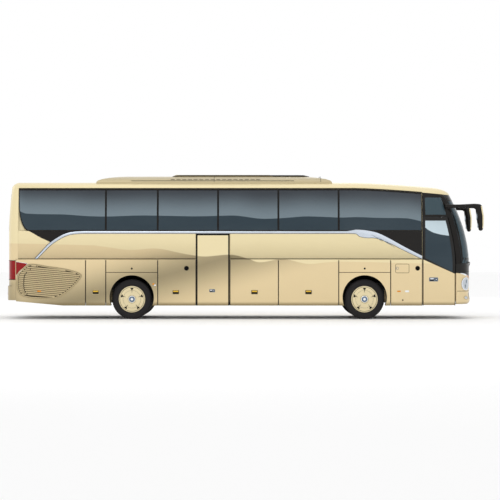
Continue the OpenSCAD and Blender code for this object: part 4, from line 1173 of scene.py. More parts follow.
@dataclass
class Glazing:
    """Window panes, their black borders and the seals between them."""

    shop: Workshop
    top_border: float = 0.042
    side_border: float = 0.020
    low_border: float = 0.022
    gap: float = 0.010

    def build(self) -> None:
        """Finishes all panes and adds their borders."""
        shop = self.shop
        shop.refine("side_windows", shop.finish.glass, smooth=30)
        shop.refine("windscreen", shop.finish.front_glass, smooth=60)
        shop.refine("rear_window", shop.finish.front_glass, smooth=60)
        shop.refine("front_side_windows", shop.finish.front_glass, smooth=60)
        shop.refine("front_pillars", shop.finish["gloss_black"], smooth=38)
        shop.refine("front_door_glass", shop.finish.door_glass, smooth=40)
        for side in Side:
            self.borders(side)
        self.screen_border()
        self.rear_border()

    def stations(self) -> list[float]:
        """Returns the ends of the six windows of one side."""
        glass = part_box("side_windows")
        x_fa, x_ra = (sum(end.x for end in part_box(node)) / 2
                      for node in ("front_right_tyre", "rear_right_tyres"))
        hold_r, hold_f = x_ra + 0.680, x_fa - 0.680
        bay = (hold_f - hold_r) / 3
        return [glass[0].x - self.gap / 2, x_ra - 0.680, hold_r, hold_r + bay, hold_r + 2 * bay, hold_f,
                glass[1].x + self.gap / 2]

    def outline(self, x0: float, x1: float, swept: bool, sides: float, top: float, low: float) -> list[Point]:
        """Returns a pane's outline, anticlockwise, moved inwards at its sides, top and foot."""
        skin = self.shop.skin
        z0 = skin.sill + 0.004 + low
        a, b = x0 + self.gap / 2 + sides, x1 - self.gap / 2 - sides
        xs = [b + (a - b) * k / 10 for k in range(11)]
        ceiling = [(x, skin.eave(x) - 0.006 - top) for x in xs]
        if not swept:
            return [(a, z0), (b, z0), *ceiling]
        curve = [(a + 0.26 * (1 - math.sin(math.radians(t))), z0 + 0.75 * (1 - math.cos(math.radians(t))))
                 for t in range(0, 91, 9)]
        curve.sort(key=lambda p: -p[1])
        return [(b, z0), *ceiling, *curve]

    def borders(self, side: Side) -> None:
        """Adds the black border of each pane on one side and the strips in the gaps."""
        shop = self.shop
        rims, seals = Solid(), Solid()
        ends = self.stations()
        for k, (x0, x1) in enumerate(zip(ends, ends[1:])):
            swept = k == 0
            outer = self.outline(x0, x1, swept, 0.0, 0.0, 0.0)
            inner = self.outline(x0, x1, swept, self.side_border, self.top_border, self.low_border)
            shop.hoop(rims, outer, inner, side, 0.0006, 0.003)
        skin = shop.skin
        for x in ends[1:-1]:
            shop.plate(seals, [(x - 0.007, skin.sill + 0.005), (x + 0.007, skin.sill + 0.005),
                               (x + 0.007, skin.eave(x) - 0.008), (x - 0.007, skin.eave(x) - 0.008)], side,
                       0.0012, 0.015)
        shop.make(f"glass_borders_{side.tag}", rims, shop.finish["gloss_black"])
        shop.make(f"glass_seals_{side.tag}", seals, shop.finish["rubber_black"])
        rail = Solid()
        xs = steps(ends[0], ends[-1], 48)
        rail.ring([[skin.side(x, skin.eave(x) + dz, side, d) for x in xs]
                   for dz, d in ((-0.002, -0.004), (-0.002, 0.006), (0.006, 0.010), (0.014, 0.006),
                                 (0.014, -0.006))],
                  open_ends=True)
        shop.make(f"drip_rail_{side.tag}", rail, shop.finish["rubber_black"], smooth=60)

    def screen_border(self) -> None:
        """Adds the black border round the windscreen."""
        shop, skin = self.shop, self.shop.skin

        def place(s: float, z: float, proud: float) -> Vector:
            """Returns a place on the windscreen, s from -1 to 1."""
            edge = 66 - 14 * unit((z - 1.446) / 1.8) ** 3
            t = edge * s * s * 0.97
            brow = skin.eave(skin.front(max(t, 0.01), 3.264).x) - 0.010
            return skin.front(math.copysign(max(t, 0.01), s), min(z, brow), proud)

        border = Solid()
        low, high = 1.450, 3.40
        loop = [*((s / 10, low) for s in range(-10, 10)), *((1.0, z) for z in steps(low, high, 16)[:-1]),
                *((s / 10, high) for s in range(10, -10, -1)),
                *((-1.0, z) for z in steps(high, low, 16)[:-1])]
        inner = [(s * (0.955 if abs(s) > 0.5 else 1), z) for s, z in loop]
        inner = [(s, min(max(z, low + 0.16), high - 0.30)) for s, z in inner]
        rows = [[place(s, z, d) for s, z in line]
                for line, d in ((loop, -0.004), (loop, 0.0012), (inner, 0.0012), (inner, -0.004))]
        shop.make("screen_border", border.ring(rows), shop.finish["gloss_black"], smooth=50)

    def rear_border(self) -> None:
        """Adds the black border and seal of the rear window."""
        shop, skin = self.shop, self.shop.skin
        low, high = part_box("rear_window")
        outer = rounded(low.y, high.y, low.z, high.z, 0.04)
        inner = rounded(low.y + 0.07, high.y - 0.07, low.z + 0.06, high.z - 0.06, 0.09)
        rows = [[skin.rear_at(y, z, d) for y, z in line] for line, d in
                ((outer, -0.004), (outer, 0.002), (inner, 0.002), (inner, -0.004))]
        shop.make("rear_border", Solid().ring(rows), shop.finish["gloss_black"], smooth=60)


@dataclass
class Doors:
    """The two doors' frames, seals and handles."""

    shop: Workshop

    def build(self) -> None:
        """Dresses both doors and the front door's post."""
        shop = self.shop
        shop.refine("front_door", shop.finish.door_paint, 0.003, 30)
        shop.refine("front_door_post", shop.finish["cast_iron"], 0.002, 40)
        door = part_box("middle_door")
        frame = Solid()
        seams = Seams(shop)
        for x, width in ((door[0].x + 0.001, 0.036), (door[1].x - 0.042, 0.038)):
            seams.upright(frame, x, Side.RIGHT, door[1].z - 0.002, width)
        shop.plate(frame, [(door[0].x + 0.001, door[1].z - 0.040), (door[1].x - 0.004, door[1].z - 0.040),
                           (door[1].x - 0.004, door[1].z - 0.001), (door[0].x + 0.001, door[1].z - 0.001)],
                   Side.RIGHT, 0.0012)
        shop.make("middle_door_frame", frame, shop.finish["rubber_black"], "mid_door")
        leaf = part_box("front_door")
        edge = Solid()
        seams.upright(edge, leaf[0].x + 0.001, Side.RIGHT, 2.30, 0.022)
        seams.upright(edge, leaf[1].x - 0.018, Side.RIGHT, 1.20, 0.014)
        shop.make("front_door_edges", edge, shop.finish["rubber_black"], "entrance_door")
        self.device(4.943, 1.043, 0.235, 0.105, "entrance_door", "front_door")
        self.device(-0.855, 0.747, 0.150, 0.080, "mid_door", "middle_door")

    def device(self, x: float, z: float, wide: float, high: float, body: str, name: str) -> None:
        """Adds a door's handle plate with its recess, grip and lock."""
        shop, side = self.shop, Side.RIGHT
        plate, dark, grip = Solid(), Solid(), Solid()
        shop.plate(plate, rounded(x - wide / 2, x + wide / 2, z - high / 2, z + high / 2, 0.014), side, 0.005)
        shop.plate(dark, rounded(x - wide * 0.42, x + wide * 0.06, z - high * 0.36, z + high * 0.36, 0.010),
                   side, 0.0062, 0.001)
        shop.plate(dark, oval(x + wide * 0.29, z, high * 0.30, high * 0.30), side, 0.0062, 0.001)
        shop.plate(grip, rounded(x - wide * 0.38, x + wide * 0.02, z + high * 0.02, z + high * 0.30, 0.006),
                   side, 0.012, 0.001)
        shop.plate(grip, oval(x + wide * 0.29, z, high * 0.14, high * 0.14), side, 0.009, 0.001)
        shop.make(f"{name}_plate", plate, shop.finish["device_grey"], body, edge=0.002)
        shop.make(f"{name}_recess", dark, shop.finish["rubber_black"], body)
        shop.make(f"{name}_grip", grip, shop.finish["chrome"], body, edge=0.002)


@dataclass
class Grille:
    """The slatted air intake on each rear side flap, with its rim and fins."""

    shop: Workshop
    slope: float = 0.087
    pitch: float = 0.0505
    edge: tuple[Point, ...] = ((-5.611, 1.457), (-5.820, 1.335), (-5.955, 1.190), (-5.984, 1.000),
                               (-5.975, 0.800),
                               (-5.900, 0.640), (-5.700, 0.556), (-5.420, 0.530), (-5.199, 0.521),
                               (-4.960, 0.540),
                               (-4.743, 0.631), (-4.502, 0.825), (-4.300, 1.055), (-4.268, 1.160),
                               (-4.374, 1.239),
                               (-4.678, 1.326), (-5.113, 1.391))

    def build(self) -> None:
        """Adds both sides' grilles."""
        for side in Side:
            body = f"{side.tag}_engine_flap"
            self.side(side, body)

    def side(self, side: Side, body: str) -> None:
        """Adds one side's grille."""
        shop = self.shop
        outer = spline(self.edge, 5, closed=True)
        tag = side.tag
        lines = [inset(outer, d) for d in (0.0, 0.016, 0.022, 0.046, 0.054)]
        rim, bed, fins = Solid(), Solid(), Solid()
        for a, b, proud in ((0, 1, 0.012), (2, 3, 0.010)):
            shop.hoop(rim, lines[a], lines[b], side, proud)
        shop.make(f"grille_rim_{tag}", rim, shop.finish["slat_paint"], body, Slot.PAINT, edge=0.004,
                  smooth=40)
        shop.plate(bed, inset(outer, 0.008), side, 0.0015)
        shop.make(f"grille_bed_{tag}", bed, shop.finish["grille_dark"], body)
        field = lines[4]
        slats = Solid()
        for k in range(17):
            z0 = 1.36 - self.pitch * k
            span = self.crossing(field, z0)
            if not span or span[1] - span[0] < 0.12:
                continue
            x0, x1 = span[0] + 0.004, span[1] - 0.004
            rows = []
            for dz, proud in ((-0.020, 0.001), (-0.016, 0.009), (0.012, 0.012), (0.019, 0.006),
                              (0.020, 0.001)):
                rows.append([shop.skin.side(x, z0 - self.slope * (x + 5.1) + dz, side, proud)
                             for x in (x0, (x0 + x1) / 2, x1)])
            slats.ring(rows, open_ends=True)
            if k % 2 == 0 or k > 3:
                x = x0 + 0.12
                z = z0 - self.slope * (x + 5.1)
                fin = ((0, -0.016), (0.018, -0.020), (0.036, 0.016), (0.020, 0.020))
                shop.plate(fins, [(x + dx, z + dz) for dx, dz in fin], side, 0.0150)
        shop.make(f"grille_slats_{tag}", slats, shop.finish["slat_paint"], body, Slot.PAINT, smooth=40)
        shop.make(f"grille_fins_{tag}", fins, shop.finish["rubber_black"], body)
        amber = Solid()
        shop.plate(amber, rounded(-5.436, -5.336, 0.716, 0.752, 0.010), side, 0.0175)
        shop.make(f"grille_marker_{tag}", amber, shop.finish["amber"], body, Slot.CLEAR, edge=0.002)

    def crossing(self, line: Sequence[Point], z0: float) -> Point | None:
        """Returns the two stations at which a sloping slat meets an outline."""
        found = []
        for (ax, az), (bx, bz) in zip(line, [*line[1:], line[0]]):
            fa, fb = az - (z0 - self.slope * (ax + 5.1)), bz - (z0 - self.slope * (bx + 5.1))
            if fa * fb < 0:
                found.append(ax + (bx - ax) * fa / (fa - fb))
        return (min(found), max(found)) if len(found) >= 2 else None


@dataclass
class Fittings:
    """Handles, locks, ports, markers and the filler flap along both sides."""

    shop: Workshop
    handle_z: float = 0.708

    def build(self) -> None:
        """Adds the small fittings of both sides."""
        for side in Side:
            tag = side.tag
            for part, x in (("service", -3.908), ("rear", -1.809), ("middle", 0.253), ("front", 1.668)):
                self.handle(side, x, f"{tag}_{part}_flap")
            self.markers(side)

    def handle(self, side: Side, x: float, body: str) -> None:
        """Adds a flap's sunk handle with its bright grip and frame."""
        shop, z = self.shop, self.handle_z
        frame, cup, grip = Solid(), Solid(), Solid()
        outer = rounded(x - 0.092, x + 0.092, z - 0.060, z + 0.060, 0.022)
        shop.hoop(frame, outer, inset(outer, 0.011), side, 0.0045)
        shop.plate(cup, inset(outer, 0.009), side, 0.0015)
        shop.plate(grip, rounded(x - 0.068, x + 0.068, z + 0.006, z + 0.040, 0.010), side, 0.009, 0.001)
        shop.make(f"{body}_handle_frame", frame, shop.finish["slat_paint"], body, Slot.PAINT, edge=0.0015)
        shop.make(f"{body}_handle_cup", cup, shop.finish["rubber_black"], body)
        shop.make(f"{body}_handle_grip", grip, shop.finish["handle_yellow"], body, edge=0.002)

    def markers(self, side: Side) -> None:
        """Adds ports, side markers, locks and the filler flap of one side."""
        shop, tag = self.shop, side.tag
        for x, body in ((-1.529, f"{tag}_rear_flap"), (4.526, COACH)):
            port, cap = Solid(), Solid()
            shop.hoop(port, oval(x, 1.335, 0.062, 0.062), oval(x, 1.335, 0.050, 0.050), side, 0.006)
            shop.plate(cap, oval(x, 1.335, 0.052, 0.052), side, 0.003)
            for k in (-0.020, 0.0, 0.020):
                shop.plate(cap, rounded(x - 0.034, x + 0.034, 1.331 + k, 1.339 + k, 0.003), side, 0.006,
                           0.001)
            end = "front" if x > 0 else "rear"
            shop.make(f"port_ring_{end}_{tag}", port, shop.finish["rubber_black"], body, edge=0.0015)
            shop.make(f"port_cap_{end}_{tag}", cap, shop.finish["arch_black"], body)
        flap, lock = Solid(), Solid()
        outline = rounded(3.945, 4.305, 1.210, 1.450, 0.035)
        shop.hoop(flap, outline, inset(outline, 0.009), side, 0.0008)
        shop.make(f"filler_seam_{tag}", flap, shop.finish["rubber_black"])
        raised = Solid()
        shop.plate(raised, inset(outline, 0.012), side, 0.0025)
        shop.make(f"filler_flap_{tag}", raised, shop.finish.paint, slot=Slot.PAINT, edge=0.0015)
        shop.hoop(lock, oval(3.996, 1.335, 0.034, 0.034), oval(3.996, 1.335, 0.026, 0.026), side, 0.005)
        shop.plate(lock, rounded(3.953, 3.962, 1.30, 1.37, 0.003), side, 0.004)
        shop.make(f"filler_lock_{tag}", lock, shop.finish["device_grey"], edge=0.001)
        amber, dots = Solid(), Solid()
        shop.plate(amber, rounded(3.990, 4.082, 0.712, 0.750, 0.012), side, 0.008)
        shop.plate(amber, oval(-2.396, 0.922, 0.030, 0.022, 20), side, 0.008)
        shop.plate(dots, oval(4.136, 0.500, 0.020, 0.020), side, 0.004)
        shop.make(f"side_markers_{tag}", amber, shop.finish["amber"], slot=Slot.CLEAR, edge=0.002)
        shop.make(f"side_locks_{tag}", dots, shop.finish["rubber_black"], edge=0.001)
        lens = Solid()
        shop.plate(lens, rounded(4.196, 4.300, 0.706, 0.756, 0.020), side, 0.009)
        shop.plate(lens, oval(-2.352, 0.890, 0.026, 0.020), side, 0.008)
        shop.make(f"side_lenses_{tag}", lens, shop.finish["pale_enamel"], slot=Slot.CLEAR, edge=0.003)


@dataclass
class FrontEnd:
    """Head lamps, fog lamps, the lower grille, mirrors and wipers."""

    shop: Workshop

    def build(self) -> None:
        """Dresses the front end."""
        shop = self.shop
        shop.refine("head_lamps", shop.finish.nose_paint, smooth=50)
        shop.refine("wipers", shop.finish["rubber_black"], smooth=50)
        shop.refine("mirrors", shop.finish["gloss_black"], smooth=50)
        for side in Side:
            self.lamps(side)
            self.mirror(side)
        self.face()
        self.wiper_arms()

    def patch(self, rows: Sequence[Sequence[Point]], side: Side, proud: float) -> Solid:
        """Returns a curved plate on the front's corner from rows of (angle in degrees, z)."""
        skin = self.shop.skin
        return Solid().sheet(*([[skin.front(t * side.value, z, d) for t, z in row] for row in rows]
                               for d in (proud, -0.004)))

    def lens(self, t: float, z: float, wide: float, high: float, side: Side, proud: float) -> Solid:
        """Returns an oval curved plate on the front's corner."""
        rows = []
        for k in range(17):
            a = math.pi * (k / 16 - 0.5) * 0.97
            reach = wide * math.cos(a)
            rows.append([(t + reach * (j / 5 - 1), z + high * math.sin(a)) for j in range(11)])
        return self.patch(rows, side, proud)

    def band(self, outer: Sequence[Point], inner: Sequence[Point], side: Side, proud: float) -> Solid:
        """Returns a ring on the front's corner between two outlines of (angle, z)."""
        skin = self.shop.skin
        rows = [[skin.front(t * side.value, z, d) for t, z in line] for line, d in
                ((outer, -0.004), (outer, proud), (inner, proud), (inner, -0.004))]
        return Solid().ring(rows)

    def lamps(self, side: Side) -> None:
        """Adds one head lamp's bezel, bowls and crescent, and the fog lamp."""
        shop, tag = self.shop, side.tag
        eye = oval(47, 0.925, 17.5, 0.172, cuts=40)
        shop.make(f"lamp_bezel_{tag}", self.band(eye, oval(47, 0.925, 14.5, 0.150, cuts=40), side, 0.010),
                  shop.finish["chrome"], slot=Slot.CLEAR, smooth=50)
        shop.make(f"lamp_lens_{tag}", self.lens(47, 0.925, 14.8, 0.152, side, 0.005),
                  shop.finish.clear, slot=Slot.CLEAR, smooth=50)
        bowls = Solid()
        for t, z, r in ((44, 0.985, 0.052), (49, 0.865, 0.052)):
            for q in (r, r * 0.66, r * 0.34):
                w = q / 0.62 * 57.3 * 0.62
                rows = [[shop.skin.front(p * side.value, h, d) for p, h in oval(t, z, a, b)] for a, b, d in
                        ((w, q, 0.004), (w, q, 0.009), (w * 0.86, q * 0.86, 0.009),
                         (w * 0.86, q * 0.86, 0.004))]
                bowls.ring(rows)
        shop.make(f"lamp_bowls_{tag}", bowls, shop.finish["mirror_glass"], slot=Slot.CLEAR, smooth=50)
        top = spline([(68, 1.205), (58, 1.200), (46, 1.175), (32, 1.115), (22, 1.050)], 6)
        low = spline([(68, 1.190), (58, 1.168), (46, 1.130), (32, 1.070), (22, 1.035)], 6)
        shop.make(f"lamp_crescent_{tag}", self.patch([low, top], side, 0.008), shop.finish["pale_enamel"],
                  slot=Slot.CLEAR, smooth=60)
        rows = [[(t, z + shift) for t, z in line if t < 45] for line, shift in ((low, 0.010), (top, -0.008))]
        shop.make(f"lamp_amber_{tag}", self.patch(rows, side, 0.011), shop.finish["amber"], slot=Slot.CLEAR,
                  smooth=60)
        fog = oval(46, 0.560, 10, 0.052, cuts=28)
        shop.make(f"fog_bezel_{tag}", self.band(fog, oval(46, 0.560, 7.5, 0.038, cuts=28), side, 0.008),
                  shop.finish["slat_paint"], slot=Slot.PAINT, smooth=50)
        shop.make(f"fog_lens_{tag}", self.lens(46, 0.560, 7.8, 0.040, side, 0.004), shop.finish.clear,
                  slot=Slot.CLEAR, smooth=50)

    def face(self) -> None:
        """Adds the front's lower grille, its slats, the blank plate and the panel's seams."""
        shop, skin = self.shop, self.shop.skin
        ts = [t if abs(t) > 0.01 else 0.01 for t in steps(-26, 26, 16)]
        dark = Solid()
        zs = (0.512, 0.545, 0.58, 0.62, 0.66, 0.690)
        dark.sheet(*([[skin.front(t, z, d) for t in ts] for z in zs]
                     for d in (0.001, -0.004)))
        shop.make("intake_bed", dark, shop.finish["grille_dark"])
        bars = Solid()
        for z in (0.512, 0.547, 0.582, 0.617, 0.652, 0.688):
            bars.tube([skin.front(t, z, -0.002) for t in ts], 0.007, 8)
        shop.make("intake_bars", bars, shop.finish["slat_paint"], slot=Slot.PAINT, smooth=50)
        plate = Solid()
        ys = steps(-0.26, 0.26, 6)

        def at(y: float, z: float, proud: float) -> Vector:
            """Returns a place on the front at a distance from the middle."""
            t = math.degrees(math.asin(unit(abs(y) / skin.width(z)) ** 2.25))
            return skin.front(math.copysign(max(t, 0.01), y), z, proud)

        plate.sheet(*([[at(y, z, d) for y in ys] for z in (0.415, 0.470, 0.495)] for d in (0.006, 0.001)))
        shop.make("front_plate", plate, shop.finish["plate_white"], smooth=50)
        seam = Solid()
        for z in (0.735, 1.250):
            reach = 78 if z < 1 else 60
            seam.tube([skin.front(t + 0.013, z, -0.002) for t in steps(-reach, reach, 40)], 0.006, 6)
        shop.make("front_seams", seam, shop.finish["rubber_black"])

    def mirror(self, side: Side) -> None:
        """Adds one mirror's glass and its painted outer shell."""
        shop, tag = self.shop, side.tag
        x0, y0 = shop.skin.x_front, side.value * (shop.skin.half_w - 0.085)
        glass = Solid()
        for z, b, c in ((2.720, 0.062, 0.115), (2.480, 0.050, 0.080)):
            face = [(b * math.cos(t), c * math.sin(t)) for t in (2 * math.pi * k / 28 for k in range(28))]
            x = x0 + (0.107 if z > 2.6 else 0.134)
            glass.prism(*([Vector((x + dx, y0 + u, z + v)) for u, v in face] for dx in (-0.012, 0.02)))
        shop.make(f"mirror_glass_{tag}", glass, shop.finish["mirror_glass"], edge=0.004)
        rows_at = ((0.160, 2.930, 0.092, 0.100), (0.195, 2.700, 0.098, 0.118), (0.205, 2.480, 0.082, 0.108),
                   (0.212, 2.375, 0.060, 0.084))
        outer, inner = [], []
        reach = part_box("mirrors")[1].x
        for k in range(13):
            z = 2.965 - (2.965 - 2.335) * k / 12
            lows = [(a, b) for a, b in zip(rows_at, rows_at[1:]) if b[1] <= z <= a[1]]
            if lows:
                a, b = lows[0]
                s = (a[1] - z) / (a[1] - b[1])
                dx, ra, rb = (a[i] + (b[i] - a[i]) * s for i in (0, 2, 3))
            else:
                end = rows_at[0] if z > 2.9 else rows_at[-1]
                share = math.sqrt(max(0.0, 1 - ((z - end[1]) / end[2]) ** 2))
                dx, ra, rb = end[0], end[2] * share, end[3] * share
            turns = [math.radians(-58 + 116 * j / 14) for j in range(15)]
            for line, grow in ((outer, 0.0015), (inner, -0.008)):
                line.append([Vector((min(x0 + dx + (ra + grow) * math.cos(t), reach),
                                     y0 + (rb + grow) * math.sin(t), z)) for t in turns])
        shop.make(f"mirror_shell_{tag}", Solid().sheet(outer, inner), shop.finish.paint, slot=Slot.PAINT,
                  smooth=60)

    def wiper_arms(self) -> None:
        """Adds the arms and pivots that carry the wiper blades."""
        shop, skin = self.shop, self.shop.skin
        arms = Solid()
        for side in Side:
            path = [skin.front(t * side.value, z, d) for t, z, d in
                    ((6, 1.395, 0.012), (9, 1.430, 0.020), (14, 1.462, 0.020), (20, 1.486, 0.018))]
            arms.tube(path, [0.012, 0.010, 0.008, 0.006], 8)
            arms.tube([skin.front(6 * side.value, 1.395, -0.004), skin.front(6 * side.value, 1.395, 0.022)],
                      0.022, 16)
        shop.make("wiper_arms", arms, shop.finish["rubber_black"], smooth=50)


@dataclass
class RearEnd:
    """Tail lamps, the engine lid's louvres, the rear plate and the lamps on the bumper."""

    shop: Workshop

    def build(self) -> None:
        """Dresses the rear end."""
        shop = self.shop
        shop.refine("tail_lamps", shop.finish.red, smooth=50)
        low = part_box("engine_lid")[0]
        slot = Solid().box((-0.003, -0.52, -0.008), (0.004, 0.52, 0.008))
        mesh = shop.repeat.run(slot, shop.finish["arch_black"], 9, step=(0, 0, 0.042),
                               place=(low.x + 0.002, 0, 1.02))
        shop.add("lid_louvres", mesh, shop.finish["arch_black"], "engine_lid", Slot.TRIM)
        blade = Solid().prism(*([Vector((top, -0.53, 0.010)), Vector((top, 0.53, 0.010)),
                                 Vector((foot, 0.53, -0.010)), Vector((foot, -0.53, -0.010))]
                                for top, foot in ((0.001, -0.0005), (0.006, 0.006))))
        mesh = shop.repeat.run(blade, shop.finish["slat_paint"], 10, step=(0, 0, 0.042),
                               place=(low.x - 0.0035, 0, 0.999))
        shop.add("lid_blades", mesh, shop.finish["slat_paint"], "engine_lid", Slot.PAINT)
        for name, half, z0, z1, finish, deep in (("lid_recess", 0.30, 1.50, 1.68, "rubber_black", 0.002),
                                                 ("lid_plate", 0.26, 1.53, 1.65, "plate_white", 0.004),
                                                 ("lid_handle", 0.16, 1.455, 1.485, "device_grey", 0.010)):
            outline = rounded(-half, half, z0, z1, 0.010)
            shape = Solid().prism(*([Vector((low.x + dx, y, z)) for y, z in outline]
                                    for dx in (-deep, 0.003)))
            shop.make(name, shape, shop.finish[finish], "engine_lid", edge=0.0015)
        self.stop_lamps()
        for side in Side:
            self.lamp(side)

    def stop_lamps(self) -> None:
        """Adds the high stop lamp, the bumper's reflectors and the rear seams."""
        shop, skin = self.shop, self.shop.skin
        high = Solid()
        ys = steps(-0.35, 0.35, 8)
        high.sheet(*([[skin.rear_at(y, z, d) for y in ys] for z in (3.325, 3.365)] for d in (0.004, -0.004)))
        for side in Side:
            ys = steps(side.value * 0.72, side.value * 1.0, 5)
            high.sheet(*([[skin.rear_at(y, z, d) for y in ys] for z in (0.63, 0.69)]
                         for d in (0.003, -0.004)))
        shop.make("stop_lamps", high, shop.finish.red, slot=Slot.RED, smooth=60)
        seam = Solid()
        ys = steps(-1.22, 1.22, 40)
        seam.tube([skin.rear_at(y, 0.8715, -0.001) for y in ys], 0.006, 6)
        shop.make("rear_seams", seam, shop.finish["rubber_black"], smooth=60)

    def lamp(self, side: Side) -> None:
        """Adds one tail lamp's rims, and the part of its lens that lies on the flap."""
        shop, skin, tag = self.shop, self.shop.skin, side.tag
        corner = Solid()
        zs = steps(1.04, 1.53, 8)
        xs = [-6.215, -6.18, -6.14, -6.09, -6.045, -6.006]

        def place(x: float, z: float, proud: float) -> Vector:
            """Returns a place round the corner at a station."""
            share = unit((x - skin.tail(z)) / skin.tail_depth)
            return skin.rear(math.degrees(math.acos(1 - share)) * side.value, z, proud)

        corner.sheet(*([[place(x, z, d) for x in xs] for z in zs] for d in (0.004, -0.004)))
        shop.make(f"tail_corner_{tag}", corner, shop.finish.red, slot=Slot.RED, smooth=60)
        lens, rim = Solid(), Solid()
        outline = [(-5.992, 1.150), (-5.715, 1.430), (-5.700, 1.448), (-5.716, 1.458), (-5.992, 1.500)]
        shop.plate(lens, outline, side, 0.005)
        shop.make(f"tail_flap_lens_{tag}", lens, shop.finish.red, f"{tag}_engine_flap", Slot.RED, edge=0.002)
        path = [(-5.994, 1.145), (-5.850, 1.290), (-5.705, 1.436), (-5.694, 1.452), (-5.716, 1.464),
                (-5.994, 1.507)]
        rim.tube([skin.side(x, z, side, 0.004) for x, z in path], 0.006, 8)
        shop.make(f"tail_flap_rim_{tag}", rim, shop.finish["chrome"], f"{tag}_engine_flap", Slot.CLEAR,
                  smooth=60)
        edges = Solid()
        edges.tube([place(x, 1.535, 0.004) for x in xs], 0.007, 8)
        edges.tube([place(x, 1.036, 0.004) for x in xs], 0.007, 8)
        shop.make(f"tail_rims_{tag}", edges, shop.finish["rubber_black"], smooth=60)


@dataclass
class Wheels:
    """Tyres with tread and rings, wheel covers and hub caps."""

    shop: Workshop
    half: float = 0.1475
    lugs: int = 46

    def build(self) -> None:
        """Dresses every wheel."""
        for side in Side:
            tag, sign = side.tag, side.value
            for end, tyre, rim, body in (("front", f"front_{tag}_tyre", f"front_{tag}_rim",
                                          f"front_{tag}_wheel"),
                                         ("rear", f"rear_{tag}_tyres", f"rear_{tag}_rims",
                                          f"rear_{tag}_wheels")):
                low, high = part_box(tyre)
                x, z = (low.x + high.x) / 2, (low.z + high.z) / 2
                outer = max(abs(low.y), abs(high.y)) - self.half
                places = [outer] if end == "front" else [outer, outer - 0.336]
                rubber = Solid()
                for y in places:
                    rubber.turned(Vector((x, sign * y, z)), self.tyre_line(), side, 96)
                shop = self.shop
                shop.add(f"{tyre}_skin", rubber.mesh(tyre, 32), shop.finish["tyre_rubber"], body, Slot.TYRE,
                         0.0, (tyre,))
                for k, y in enumerate(places):
                    for row, (d, w,
                              turn) in enumerate(((-0.098, 0.036, 0.5), (-0.050, 0.030, 0.0),
                                                  (0.0, 0.034, 0.5),
                                                        (0.050, 0.030, 0.0), (0.098, 0.036, 0.5))):
                        self.tread(f"{tyre}_tread_{k}_{row}", Vector((x, sign * (y + d), z)), w, turn, body)
                shop.refine(rim, shop.finish["cover_paint"], smooth=32)
                self.cover(f"{end}_{tag}", Vector((x, sign * (outer + self.half + 0.004), z)), side, body)

    def tyre_line(self) -> list[Point]:
        """Returns a tyre's cross-section as (radius, distance from its middle)."""
        w = self.half
        wall = [(0.292, w - 0.036), (0.302, w - 0.023), (0.345, w - 0.017), (0.360, w - 0.014),
                (0.364, w - 0.010),
                (0.372, w - 0.010), (0.376, w - 0.011), (0.400, w - 0.001), (0.438, w - 0.003),
                (0.441, w - 0.0005),
                (0.452, w - 0.001), (0.455, w - 0.004), (0.470, w - 0.005), (0.490, w - 0.011),
                (0.504, w - 0.018),
                (0.5105, w - 0.034), (0.5125, w - 0.060), (0.513, 0.045)]
        return wall + [(r, -d) for r, d in reversed(wall)]

    def tread(self, name: str, centre: Vector, width: float, turn: float, body: str) -> None:
        """Adds one row of tread blocks."""
        step = 2 * math.pi / self.lugs
        block = Solid().box((-0.027, -width / 2, 0.508), (0.027, width / 2, 0.5205))
        c, s = math.cos(step * turn), math.sin(step * turn)
        block.points = [Vector((p.x * c + p.z * s, p.y + (p.x * 0.25), p.z * c - p.x * s))
                        for p in block.points]
        mesh = self.shop.repeat.run(block, self.shop.finish["tyre_rubber"], self.lugs, turn=(0, step, 0),
                                    place=centre)
        self.shop.add(name, mesh, self.shop.finish["tyre_rubber"], body, Slot.TYRE)

    def cover(self, tag: str, centre: Vector, side: Side, body: str) -> None:
        """Adds a wheel cover's notches, lines, rings and hub cap on its outer face."""
        shop, sign = self.shop, side.value
        notch = Solid()
        for points in (((-0.020, 0.252), (0.020, 0.252), (0.042, 0.282), (0.030, 0.297), (-0.030, 0.297),
                        (-0.042, 0.282)),
                       ((-0.0028, 0.175), (0.0028, 0.175), (0.0085, 0.252), (-0.0085, 0.252))):
            notch.prism(*([Vector((x, sign * y, z)) for x, z in points] for y in (0.0012, -0.002)))
        mesh = shop.repeat.run(notch, shop.finish["arch_black"], 5, turn=(0, 2 * math.pi / 5, 0),
                               place=centre)
        shop.add(f"cover_notches_{tag}", mesh, shop.finish["arch_black"], body, Slot.TRIM)
        rings = Solid()
        for r, w in ((0.318, 0.0045), (0.232, 0.002), (0.104, 0.003)):
            out = 0.0008 if r < 0.3 else -0.0018
            rings.turned(centre,
                         [(r + w, out - 0.004), (r + w, out), (r - w, out + 0.0003), (r - w, out - 0.004)],
                         side, 72)
        shop.make(f"cover_rings_{tag}", rings, shop.finish["grille_dark"], body)
        cap = Solid().turned(centre, [(0, 0.0105), (0.020, 0.0100), (0.034, 0.0080), (0.036, 0.0), (0, 0.0)],
                             side, 48)
        shop.make(f"hub_centre_{tag}", cap, shop.finish["pale_enamel"], body, Slot.COVER, smooth=40)
        bowl = Solid().turned(centre,
                              [(0.030, 0.0075), (0.060, 0.0070), (0.074, 0.0040), (0.076, -0.002),
                               (0.030, -0.002)],
                              side, 48)
        shop.make(f"hub_cap_{tag}", bowl, shop.finish["hub_blue"], body, Slot.COVER, smooth=40)
        ring = Solid().turned(centre, [(0.076, -0.002), (0.076, 0.0045), (0.086, 0.0035), (0.090, -0.002)],
                              side, 48)
        shop.make(f"hub_ring_{tag}", ring, shop.finish["chrome"], body, Slot.COVER, smooth=50)


